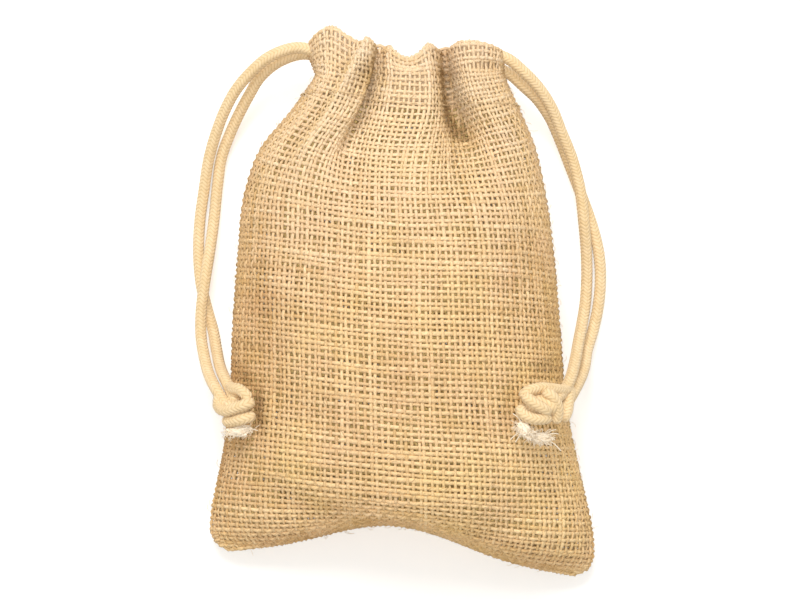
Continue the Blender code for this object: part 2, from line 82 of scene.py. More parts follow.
# Cross-sections of the plump body, from the bottom fold (v 0) to the hem (v 1).
Section = namedtuple("Section", "v left_x left_y right_x right_y seam_z face_z back_z bow power")
SECTIONS = (
    Section(0.00, -57.6, -74.7, 57.0, -83.3, 4.4, 15.0, 15.0, 12.2, 0.95),
    Section(0.01, -60.6, -73.6, 60.4, -82.2, 4.6, 19.5, 10.5, 11.2, 0.90),
    Section(0.03, -62.8, -70.4, 62.6, -79.2, 5.0, 24.5, 5.5, 8.6, 0.82),
    Section(0.07, -63.0, -64.8, 63.0, -73.0, 5.8, 31.0, 1.0, 4.4, 0.74),
    Section(0.12, -61.8, -57.8, 61.5, -64.0, 6.8, 36.5, -2.0, 1.4, 0.66),
    Section(0.20, -59.0, -46.0, 58.2, -50.0, 8.4, 40.5, -3.0, 0.0, 0.60),
    Section(0.32, -56.2, -26.5, 53.8, -28.5, 9.6, 42.5, -3.0, 0.0, 0.56),
    Section(0.46, -55.2, -2.0, 51.6, -3.0, 10.4, 42.5, -3.0, 0.0, 0.54),
    Section(0.60, -53.4, 22.5, 49.4, 22.0, 11.0, 41.5, -3.0, 0.0, 0.53),
    Section(0.72, -50.8, 43.5, 46.4, 43.0, 12.0, 39.5, -3.0, 0.0, 0.52),
    Section(0.80, -45.2, 57.0, 43.2, 57.0, 13.0, 37.5, -2.0, 0.0, 0.50),
    Section(0.86, -36.0, 68.0, 38.6, 68.0, 14.0, 35.0, 0.0, 0.0, 0.50),
    Section(0.91, -28.3, 79.0, 33.6, 79.0, 15.0, 33.0, 2.0, 0.0, 0.50),
    Section(1.00, -28.3, 88.0, 33.6, 88.0, 15.0, 32.0, 3.0, 0.0, 0.50),
)

# The neck's folds, each at the cord and at the hem edge.
Gather = namedtuple("Gather", "name neck_x neck_z hem_x hem_y hem_z")
FACE_GATHERS = (
    Gather("left_seam", -28.3, 15.0, -31.8, 87.2, 16.0),
    Gather("left_shoulder", -27.6, 22.0, -29.4, 90.8, 23.0),
    Gather("left_lobe", -26.0, 26.2, -25.8, 93.5, 27.4),
    Gather("left_crown", -23.6, 28.4, -21.4, 94.0, 29.2),
    Gather("left_dip", -21.0, 28.2, -16.4, 90.2, 28.2),
    Gather("leaning_ridge", -17.2, 34.5, -12.5, 90.4, 32.6),
    Gather("ridge_fall", -9.8, 31.0, -8.4, 89.4, 30.6),
    Gather("left_groove", -9.6, 20.0, -7.2, 86.6, 22.0),
    Gather("panel_left", -4.8, 26.0, -4.9, 87.6, 25.6),
    Gather("panel_left_fall", -1.6, 27.8, -1.3, 84.9, 27.0),
    Gather("panel_middle", 2.2, 28.5, 2.2, 83.4, 27.5),
    Gather("panel_right_rise", 5.8, 28.4, 5.5, 85.3, 27.5),
    Gather("panel_right", 9.4, 27.6, 9.0, 88.9, 27.0),
    Gather("panel_edge", 12.0, 24.0, 11.8, 87.7, 24.0),
    Gather("right_groove", 14.2, 14.5, 13.4, 86.4, 16.0),
    Gather("right_bunch", 20.2, 27.0, 17.8, 88.9, 27.5),
    Gather("right_crown", 25.4, 29.0, 24.4, 89.3, 29.0),
    Gather("right_lobe", 30.2, 26.5, 30.6, 87.8, 26.0),
    Gather("right_seam", 33.6, 15.0, 33.4, 85.4, 15.0),
)
BACK_GATHERS = (
    Gather("back_lobe_a", 27.5, 4.5, 28.0, 88.0, 4.5),
    Gather("back_groove_a", 20.5, 11.0, 20.0, 87.0, 10.0),
    Gather("back_lobe_b", 12.0, 3.0, 13.0, 88.0, 3.0),
    Gather("back_groove_b", 5.0, 11.5, 5.0, 83.5, 11.0),
    Gather("back_lobe_c", -2.5, 3.0, -2.0, 83.5, 3.0),
    Gather("back_groove_c", -10.0, 11.5, -10.0, 86.0, 11.0),
    Gather("back_lobe_d", -17.0, 3.5, -17.5, 89.5, 3.5),
    Gather("back_groove_d", -22.0, 9.0, -24.0, 90.0, 9.0),
)

# Creases run from s0, v0 to s1, v1 on the face: s is -1 to 1 across, v is 0 to 1 along.
Crease = namedtuple("Crease", "name s0 v0 s1 v1 width height")
FACE_CREASES = (
    Crease("right_valley", 0.42, 0.88, 0.54, 0.79, 7.0, -7.0),
    Crease("right_valley_bank", 0.64, 0.90, 0.78, 0.76, 6.0, 2.0),
    Crease("right_flank_edge", 0.72, 0.72, 0.42, 0.52, 9.0, 1.6),
    Crease("cord_pucker", 0.68, 0.93, 0.92, 0.94, 2.6, -2.4),
    Crease("left_pocket", -0.44, 0.93, -0.50, 0.87, 4.0, -3.2),
    Crease("ridge_foot", -0.66, 0.90, -0.78, 0.80, 5.0, 2.2),
    Crease("left_flank_edge", -0.80, 0.65, -0.50, 0.44, 9.0, 1.6),
    Crease("left_shoulder_ridge", -0.52, 0.88, -0.84, 0.62, 7.0, 1.8),
    Crease("left_shoulder_trough", -0.30, 0.84, -0.58, 0.60, 7.0, -1.4),
    Crease("lower_left_trough", -0.22, 0.05, -0.74, 0.17, 9.0, -3.2),
    Crease("lower_right_trough", 0.26, 0.05, 0.78, 0.19, 10.0, -2.6),
    Crease("left_side_dent", -0.62, 0.30, -0.70, 0.46, 14.0, -1.2),
)

# Painted shade on the face: darker in its pockets, and painted shadow beside the knots; rows below
# nought paint light, making the face paler there.
FOLD_SHADES = (
    Crease("right_pocket_mouth", 0.26, 0.975, 0.25, 0.935, 3.0, 0.50),
    Crease("right_pocket", 0.25, 0.945, 0.25, 0.885, 3.4, 0.80),
    Crease("right_pocket_turn", 0.25, 0.900, 0.36, 0.850, 3.4, 0.85),
    Crease("right_pocket_foot", 0.34, 0.860, 0.46, 0.818, 3.2, 0.65),
    Crease("right_bunch_foot", 0.47, 0.965, 0.51, 0.845, 8.0, -0.62),
    Crease("left_pocket_mouth", -0.36, 0.985, -0.35, 0.945, 3.5, 0.70),
    Crease("left_pocket", -0.35, 0.955, -0.43, 0.900, 4.0, 0.95),
    Crease("left_trough", -0.27, 0.880, -0.36, 0.760, 8.0, -0.62),
    Crease("left_knot_top", -0.90, 0.362, -0.75, 0.334, 2.2, 0.42),
    Crease("left_knot_side", -0.74, 0.325, -0.71, 0.255, 1.7, 1.05),
    Crease("left_knot_foot", -0.90, 0.226, -0.74, 0.238, 2.4, 0.32),
    Crease("right_knot_top", 0.60, 0.392, 0.88, 0.418, 3.0, 0.42),
    Crease("right_knot_side", 0.555, 0.385, 0.480, 0.285, 2.8, 0.42),
)

# Broad places where painted shade darkens the face, where it turns from the light.
Patch = namedtuple("Patch", "name s v reach_s reach_v depth")
PAINTED_SHADE_PATCHES = (
    Patch("left_flank", -0.84, 0.46, 0.30, 0.17, 0.24),
    Patch("left_flank_foot", -0.66, 0.26, 0.28, 0.14, 0.14),
    Patch("right_flank", 0.86, 0.48, 0.22, 0.26, 0.20),
    Patch("right_shoulder", 0.60, 0.92, 0.28, 0.14, 0.12),
    Patch("bottom_bulge", 0.05, 0.06, 0.50, 0.07, 0.10),
)

# ------------------------------------------------------------- drawstring tables
CORD_DIAMETER = 3.8
BRAID_COLUMNS = 6           # plaits side by side round a cord
BRAID_PITCH = 1.2           # from one plait to the next along it
BRAID_SLOPE = 1.1           # how far a plait climbs across its column, in pitches
BRAID_RELIEF = 0.2
BRAID_ROUNDNESS = 0.8       # below one, a plait's top is flatter than a parabola
BRAID_SEAM = 0.45           # how deep the lines between the columns are
BRAID_SEAM_POWER = 4        # and how narrow

# Each strand starts in the casing's slit, and its last two points are under the knot's turns.
CORD_ROUTES = {
    "left_under": (
        (-27.5, 86.4, 19.0),
        (-32.6, 87.7, 18.4), (-42.0, 85.3, 17.0), (-49.4, 79.5, 14.2), (-53.9, 74.3, 11.6),
        (-57.6, 67.8, 8.8), (-60.6, 60.4, 6.0), (-62.9, 52.6, 4.0), (-64.6, 42.3, 2.3),
        (-65.9, 33.0, 2.0), (-66.4, 22.0, 2.0), (-65.6, 12.0, 2.0), (-63.2, 2.0, 2.0),
        (-61.6, -3.4, 3.2), (-60.3, -9.8, 6.6), (-59.0, -14.9, 11.4), (-56.1, -20.8, 19.3),
        (-54.2, -24.6, 22.2), (-53.2, -27.6, 23.8),
    ),
    "left_over": (
        (-25.5, 84.6, 15.0),
        (-31.35, 86.0, 13.8), (-39.0, 84.0, 12.6), (-45.9, 78.8, 10.4), (-49.7, 73.0, 7.8),
        (-53.3, 66.5, 5.4), (-56.4, 59.8, 3.4), (-58.8, 53.3, 2.2), (-60.2, 44.0, 2.0),
        (-61.2, 34.0, 2.4), (-62.4, 24.0, 4.4), (-64.2, 12.0, 6.3), (-65.4, 2.0, 6.0),
        (-65.4, -5.0, 6.2), (-64.2, -11.6, 9.6), (-62.6, -17.0, 14.0), (-59.35, -22.9, 20.7),
        (-57.6, -25.6, 22.2), (-55.2, -28.2, 23.8),
    ),
    "right_over": (
        (29.5, 86.0, 18.4),
        (34.7, 83.8, 18.2), (38.8, 80.4, 17.6), (43.9, 75.3, 15.6), (48.5, 68.5, 12.6),
        (51.7, 61.0, 9.8), (55.2, 52.6, 7.4), (57.9, 42.3, 6.4), (59.2, 31.6, 5.8),
        (60.1, 22.0, 3.4), (60.3, 13.0, 2.0), (59.8, 5.6, 2.6), (58.6, -1.2, 5.6),
        (57.3, -7.0, 9.8), (56.1, -12.2, 15.0), (54.0, -19.0, 21.9),
        (51.8, -22.8, 26.0), (48.8, -25.2, 31.4),
    ),
    "right_under": (
        (30.0, 82.0, 14.4),
        (35.0, 79.4, 13.4), (39.4, 75.6, 12.4), (43.8, 71.6, 10.4), (48.0, 65.8, 7.8),
        (51.4, 58.6, 5.2), (54.8, 50.2, 3.0), (58.4, 41.0, 2.1), (61.8, 31.6, 2.0),
        (64.35, 21.0, 2.0), (64.7, 11.0, 2.0), (63.8, 3.0, 2.0), (62.1, -4.2, 2.8),
        (60.2, -10.0, 6.0), (59.3, -14.6, 10.0), (55.5, -22.6, 19.6),
        (53.4, -25.8, 23.6), (51.0, -28.4, 28.6),
    ),
}

Turn = tuple[Triple, ...]
Knot = namedtuple("Knot", "name seed turns core core_half core_radius")
KNOTS = (
    Knot(
        "knot_left",
        31,
        (
            ((-58.5, -23.5, 21.4), (-58.9, -27.4, 22.2), (-56.6, -29.0, 26.0),
             (-52.6, -27.8, 28.8), (-49.2, -26.6, 29.3), (-48.0, -26.2, 27.4)),
            ((-55.4, -31.4, 21.8), (-55.9, -32.4, 24.0), (-53.6, -32.3, 27.0),
             (-50.6, -31.5, 28.5), (-48.6, -30.8, 27.8), (-48.0, -30.4, 26.4)),
            ((-55.5, -21.2, 19.9), (-54.2, -21.9, 23.4), (-52.0, -22.2, 26.0),
             (-50.0, -23.8, 27.7), (-48.6, -25.4, 27.6)),
        ),
        (-53.4, -28.6, 24.1), 4.4, 3.2,
    ),
    Knot(
        "knot_right",
        57,
        (
            ((53.9, -21.6, 20.9), (51.6, -22.4, 27.0), (47.6, -21.8, 32.0),
             (43.0, -21.6, 35.4), (39.4, -22.9, 37.0), (38.0, -25.0, 36.8)),
            ((38.4, -23.6, 37.6), (41.6, -26.0, 39.4), (45.2, -28.2, 38.4),
             (46.4, -29.2, 36.4)),
            ((37.6, -27.0, 36.8), (38.0, -29.2, 38.2), (41.0, -31.0, 38.8),
             (45.0, -31.2, 37.2), (46.8, -30.8, 35.0)),
            ((44.6, -22.6, 36.4), (47.2, -23.8, 36.8), (49.2, -26.8, 35.6),
             (49.4, -30.2, 34.2), (48.4, -32.6, 33.2)),
            ((54.1, -21.8, 20.9), (53.3, -25.4, 25.8), (52.6, -29.4, 28.2),
             (51.2, -32.2, 29.8)),
        ),
        (44.6, -26.8, 34.6), 6.2, 3.4,
    ),
)

# A cut end's yarns lie along its band, turned from +X; its stray threads reach to the strays.
Fray = namedtuple("Fray", "name centre half_length reach outward band strays")
FRAYS = (
    Fray(
        "fray_left", (-52.4, -35.6, 26.1), 4.3, 1.7, 0.0, 0.06,
        ((-46.2, -35.4), (-57.6, -37.6)),
    ),
    Fray(
        "fray_right_a", (38.8, -34.7, 38.0), 3.0, 2.2, 0.2, -0.7,
        ((35.2, -29.6), (34.4, -37.8), (36.0, -38.6)),
    ),
    Fray(
        "fray_right_b", (44.2, -37.4, 33.6), 3.2, 2.2, 0.2, -0.1,
        ((49.8, -36.2), (50.6, -41.6), (48.6, -38.0), (49.0, -34.8), (47.4, -34.6)),
    ),
)
FRAY_DROP = 2.6             # how far below its middle a cut end may hang


class Leaf(Enum):
    """The two leaves of the sack's cloth."""

    FACE = "face"
    BACK = "back"


class Yarns(Enum):
    """The two ways the yarns run: along the sack, or across it."""

    WARP = "warp"
    WEFT = "weft"


class Slot(Enum):
    """The record's material slots."""

    BURLAP = "burlap"
    CORD = "cotton_cord"
    FRAY = "frayed_cotton"


# ------------------------------------------------------------------ small maths
def smooth_step(value: Array, start: float = 0.0, run: float = 1.0) -> Array:
    """Ease from 0 at the start to 1 a run further on, which is below nought to go back."""
    t = np.clip((value - start) / run, 0.0, 1.0)
    return t * t * (3.0 - 2.0 * t)


def unit(vectors: Array) -> Array:
    """The same directions, one long."""
    return vectors / np.maximum(np.linalg.norm(vectors, axis=-1, keepdims=True), TINY)


def spline(knots: Array, values: Array, places: Array) -> Array:
    """Read a smooth curve through values at knots, with slopes by its neighbours.

    Args:
        knots: where the values stand, rising.
        values: the values there.
        places: where to read.

    Returns:
        The curve's values at the places.
    """
    knots = np.asarray(knots, float)
    values = np.asarray(values, float)
    slopes = np.gradient(values, knots)
    span = np.clip(np.searchsorted(knots, places, side="right") - 1, 0, len(knots) - 2)
    width = knots[span + 1] - knots[span]
    t = (places - knots[span]) / width
    start = (2 * t**3 - 3 * t**2 + 1) * values[span]
    start = start + (t**3 - 2 * t**2 + t) * width * slopes[span]
    end = (3 * t**2 - 2 * t**3) * values[span + 1]
    end = end + (t**3 - t**2) * width * slopes[span + 1]
    return start + end


def spline_path(knots: Array, points: Array, places: Array) -> Array:
    """A smooth curve through points that stand at knots, read as spline does."""
    return np.stack([spline(knots, points[:, i], places) for i in range(3)], axis=-1)


def smooth_route(points: Turn, spacing: float) -> Array:
    """Points a given spacing apart on a smooth curve through a route's own points.

    Args:
        points: the route's points, in millimetres.
        spacing: the distance wanted between the points given back.

    Returns:
        The points, one a row.
    """
    route = np.array(points, float)
    knots = run_length(route)
    curve = spline_path(knots, route, np.linspace(0.0, knots[-1], ARC_SAMPLES))
    length = run_length(curve)
    count = max(2, round(length[-1] / spacing)) + 1
    places = np.linspace(0.0, length[-1], count)
    return np.stack([np.interp(places, length, curve[:, i]) for i in range(3)], axis=-1)


def run_length(points: Array) -> Array:
    """How far along its path each point lies."""
    steps = np.linalg.norm(np.diff(points, axis=0), axis=1)
    return np.concatenate([[0.0], np.cumsum(steps)])


def smoothed(grid: Array, reach: int, axis: int, **padding: str) -> Array:
    """Even a grid of values out along an axis.

    Args:
        grid: the values.
        reach: over how many samples to each side.
        axis: which way.
        padding: how numpy.pad goes on past the ends, or else with the last value.

    Returns:
        The values evened out.
    """
    window = np.hanning(2 * reach + 3)[1:-1]
    pads = [(reach, reach) if number == axis else (0, 0) for number in range(grid.ndim)]
    padded = np.pad(grid, pads, **(padding or {"mode": "edge"}))
    return np.apply_along_axis(np.convolve, axis, padded, window / window.sum(), mode="valid")


def wander(rng: np.random.Generator, rows: int, columns: int, run: int) -> Array:
    """Random rows that change slowly from one column to the next.

    Args:
        rng: the seeded source.
        rows: how many rows.
        columns: how many columns.
        run: over how many columns a value holds.

    Returns:
        Values spread about nought with a deviation near one.
    """
    raw = rng.normal(size=(rows, columns + 2 * run))
    window = np.hanning(2 * run + 3)[1:-1]
    window = window / math.sqrt(float((window**2).sum()))
    return np.array([np.convolve(row, window, mode="valid") for row in raw])


# ---------------------------------------------------------------- cloth surface
def section_value(column: str, v: Array) -> Array:
    """A column of SECTIONS read at the fractions v, one row for each."""
    knots, values = zip(*((row.v, getattr(row, column)) for row in SECTIONS))
    return spline(knots, values, v)[:, None]


def body_sheet(s: Array, v: Array, face: bool) -> Array:
    """The plump body's face or back.

    Args:
        s: places across, -1 at the left seam to 1 at the right, a row for each v.
        v: places along, 0 at the bottom fold to 1 at the hem edge.
        face: the face, or else the back.

    Returns:
        Points in millimetres, as rows by columns by x, y, z.
    """
    fine = np.sin(np.linspace(-0.5, 0.5, ARC_SAMPLES) * math.pi)[None, :]
    left_x, right_x = section_value("left_x", v), section_value("right_x", v)
    seam_z = section_value("seam_z", v)
    power = section_value("power", v)
    if face:
        leaned = np.clip(fine - CROWN_SHIFT * (1.0 - fine**2), -1.0, 1.0)
        rise = section_value("face_z", v) - seam_z
        z = seam_z + rise * (1.0 - leaned**2) ** power
    else:
        fall = seam_z - section_value("back_z", v)
        z = seam_z - fall * (1.0 - fine**2) ** (power - BACK_ROUNDER)
    x = left_x + (right_x - left_x) * (fine + 1.0) / 2.0
    steps = np.hypot(np.diff(x, axis=1), np.diff(z, axis=1))
    length = np.concatenate([np.zeros((len(v), 1)), np.cumsum(steps, axis=1)], axis=1)
    share = 2.0 * length / length[:, -1:] - 1.0
    across = np.array([np.interp(p, row, fine[0]) for p, row in zip(s, share)])
    z = np.array([np.interp(q, fine[0], row) for q, row in zip(across, z)])
    x = left_x + (right_x - left_x) * (across + 1.0) / 2.0
    left_y, right_y = section_value("left_y", v), section_value("right_y", v)
    bow = section_value("bow", v) * np.exp(-(((x - BOW_CENTRE_X) / BOW_WIDTH) ** 2))
    y = left_y + (right_y - left_y) * (across + 1.0) / 2.0 + bow * (1.0 - across**2)
    return np.stack([x, y, z], axis=-1)


def gather_sheet(s: Array, v: Array, face: bool) -> Array:
    """The gathered neck, with folds that fan out downwards.

    Args:
        s: places across, -1 to 1, a row for each v.
        v: places along, 0 to 1.
        face: the face, or else the back.

    Returns:
        Points in millimetres.
    """
    rows = FACE_GATHERS if face else (FACE_GATHERS[-1],) + BACK_GATHERS + (FACE_GATHERS[0],)
    neck = np.array([(r.neck_x, 0.0, r.neck_z) for r in rows])
    hem = np.array([(r.hem_x, r.hem_y, r.hem_z) for r in rows])
    knots = run_length(neck)
    knots = 2.0 * knots / knots[-1] - 1.0
    places = s if face else -s
    at_neck, at_hem = spline_path(knots, neck, places), spline_path(knots, hem, places)
    share = at_neck[..., 0] - FACE_GATHERS[0].neck_x
    share = share / (FACE_GATHERS[-1].neck_x - FACE_GATHERS[0].neck_x)
    below = np.minimum(v, GATHER_FULL)
    for axis, ends in ((0, ("left_x", "right_x")), (1, ("left_y", "right_y"))):
        left, right = (section_value(end, below) for end in ends)
        at_neck[..., axis] = left + (right - left) * share
    above = np.clip((v - GATHER_FULL) / (1.0 - GATHER_FULL), 0.0, 1.0)[:, None, None]
    return at_neck + (at_hem - at_neck) * above


def crease_heights(creases: tuple[Crease, ...], s: Array, v: Array) -> Array:
    """How far creases lift or sink the face, or how dark they make it.

    Args:
        creases: their table.
        s: places across, -1 to 1, a row for each v.
        v: places along, 0 to 1.

    Returns:
        A value for each place.
    """
    across = s * FLAT_WIDTH / 2.0
    along = v[:, None] * FLAT_LENGTH
    height = np.zeros_like(across)
    for crease in creases:
        start_s, start_v = crease.s0 * FLAT_WIDTH / 2.0, crease.v0 * FLAT_LENGTH
        run_s = crease.s1 * FLAT_WIDTH / 2.0 - start_s
        run_v = crease.v1 * FLAT_LENGTH - start_v
        t = (across - start_s) * run_s + (along - start_v) * run_v
        t = np.clip(t / (run_s**2 + run_v**2), 0.0, 1.0)
        away = np.hypot(across - start_s - t * run_s, along - start_v - t * run_v)
        fade = CREASE_END + (1.0 - CREASE_END) * np.sin(math.pi * t)
        height += crease.height * fade * np.exp(-((away / crease.width) ** 2))
    return height


def cloth_sheet(s: Array, v: Array, face: bool) -> Array:
    """Outer side of the cloth.

    Args:
        s: places across, -1 to 1, a row for each v.
        v: places along, 0 to 1.
        face: the face, or else the back.

    Returns:
        Points in millimetres.
    """
    body = body_sheet(s, v, face)
    gather = gather_sheet(s, v, face)
    weight = smooth_step(v, GATHER_START, GATHER_FULL - GATHER_START)[:, None, None]
    sheet = body * (1.0 - weight) + gather * weight
    if face:
        clear_of_edges = np.clip(CREASE_EDGE * (1.0 - s**2), 0.0, 1.0)
        clear_of_edges = clear_of_edges * smooth_step(v, 0.0, CREASE_CLEAR)[:, None]
        sheet[..., 2] += crease_heights(FACE_CREASES, s, v) * clear_of_edges
    sheet[..., 2] = np.maximum(sheet[..., 2], 0.0)
    return sheet


def cloth_normals(s: Array, v: Array, face: bool) -> Array:
    """Outward normals of the cloth's outer side.

    Args:
        s: places across, -1 to 1, a row for each v.
        v: places along, 0 to 1.
        face: the face, or else the back.

    Returns:
        The normals, one long.
    """
    across = cloth_sheet(np.clip(s + NORMAL_STEP, -1, 1), v, face)
    across = across - cloth_sheet(np.clip(s - NORMAL_STEP, -1, 1), v, face)
    along = cloth_sheet(s, np.clip(v + NORMAL_STEP, 0, 1), face)
    along = along - cloth_sheet(s, np.clip(v - NORMAL_STEP, 0, 1), face)
    return unit(np.cross(across, along) if face else np.cross(along, across))


@dataclass
class ClothSurface:
    """A leaf's outer side, sampled finely once and read anywhere afterwards."""

    leaf: Leaf
    columns: int = 321
    rows: int = 361
    row_blur: int = 45
    column_blur: int = 120
    fold_blur: int = 12
    # Painted shade: darker in hollows and on slopes that turn from the light.
    shade_blur: int = 26
    hollow_shade: float = 0.08
    hollow_range: Pair = (-4.0, 8.0)
    slope_shade: float = 0.50
    points: Array = field(init=False)
    normals: Array = field(init=False)
    shades: Array = field(init=False)

    def __post_init__(self) -> None:
        """Sample the leaf."""
        v = np.linspace(0.0, 1.0, self.rows)
        s = np.tile(np.linspace(-1.0, 1.0, self.columns), (self.rows, 1))
        face = self.leaf is Leaf.FACE
        grid = np.concatenate([cloth_sheet(s, v, face), cloth_normals(s, v, face)], axis=-1)
        grid = self.even_out(grid, self.row_blur)
        grid = self.even_out(grid.swapaxes(0, 1), self.column_blur).swapaxes(0, 1)
        # Round the neck's sharpest crests, as thick cloth does.
        softer = smoothed(grid, self.fold_blur, 1, mode="reflect", reflect_type="odd")
        weight = smooth_step(v, GATHER_FULL, 1.0 - GATHER_FULL)[:, None, None]
        grid = grid + (softer - grid) * weight
        self.points, self.normals = grid[..., :3], unit(grid[..., 3:])
        self.shades = self.find_shades(s, v)[..., None]

    def find_shades(self, s: Array, v: Array) -> Array:
        """How much painted shade darkens the cloth at its samples: in hollows, on slopes and by
        the tables.

        Args:
            s: the samples' places across.
            v: each row's place along.

        Returns:
            The shades.
        """
        face = self.leaf is Leaf.FACE
        height = self.points[..., 2]
        around = smoothed(smoothed(height, self.shade_blur, 1), self.shade_blur, 0)
        hollow = around - height if face else height - around
        slope = 1.0 - np.abs(self.normals[..., 2])
        shade = self.hollow_shade * np.clip(hollow, *self.hollow_range) + self.slope_shade * slope
        if face:
            # Painted shade and light from the tables: pockets, knots and broad patches turning
            # from the light.
            shade += crease_heights(FOLD_SHADES, s, v)
            for patch in PAINTED_SHADE_PATCHES:
                away = ((s - patch.s) / patch.reach_s) ** 2
                away = away + ((v[:, None] - patch.v) / patch.reach_v) ** 2
                shade += patch.depth * np.exp(-away)
        return shade

    @staticmethod
    def even_out(grid: Array, blur: int) -> Array:
        """Slide each row's samples along it until they are about the same distance apart.

        Args:
            grid: rows of samples, whose first three values are points.
            blur: over how many rows to each side the sliding is evened, so that yarns
                across the rows stay straight.

        Returns:
            The grid sampled anew.
        """
        share = np.array([run_length(row[:, :3]) for row in grid])
        share = smoothed(share / share[:, -1:], blur, 0)
        places = np.linspace(0.0, 1.0, share.shape[1])
        evened = np.empty_like(grid)
        for number, row in enumerate(grid):
            for axis in range(row.shape[1]):
                evened[number, :, axis] = np.interp(places, share[number], row[:, axis])
        return evened

    def at(self, s: Array, v: Array) -> tuple[Array, Array, Array]:
        """Points and outward normals at cloth places.

        Args:
            s: places across, -1 to 1, of any shape.
            v: places along, 0 to 1, of the same shape.

        Returns:
            Points in millimetres, unit normals and how much painted shade darkens the cloth there.
        """
        across = np.clip((s + 1.0) / 2.0, 0.0, 1.0) * (self.columns - 1)
        along = np.clip(v, 0.0, 1.0) * (self.rows - 1)
        i = np.minimum(across.astype(int), self.columns - 2)
        j = np.minimum(along.astype(int), self.rows - 2)
        a, b = (across - i)[..., None], (along - j)[..., None]
        found = []
        for grid in (self.points, self.normals, self.shades):
            low = grid[j, i] * (1 - a) + grid[j, i + 1] * a
            high = grid[j + 1, i] * (1 - a) + grid[j + 1, i + 1] * a
            found.append(low * (1 - b) + high * b)
        return found[0], unit(found[1]), found[2][..., 0]


# ------------------------------------------------------------------- node trees
STORE_NODE = "GeometryNodeStoreNamedAttribute"
COLOUR_RESULT = 2           # a mix node's outputs are a float, a vector, then a colour
FLOAT_RESULT = 1            # and a random node's are a vector, then a float
HAIR_SIDES = 3
HAIR_BEND = {
    "Resolution": 5,
    "Start": (0.0, 0.0, -0.05),
    "Middle": (0.5, 0.22, 0.42),
    "End": (1.0, -0.1, 0.16),
}
HAIR_TILT = 0.5             # how far a hair leans off the cloth's own lie, in radians
SIZE_SEED_STEP = 7          # so that a hair's length doesn't follow from its lean
THREAD_SIDES = 5
ROUND = 1.0                 # the flatness of a strand as thick as it is wide


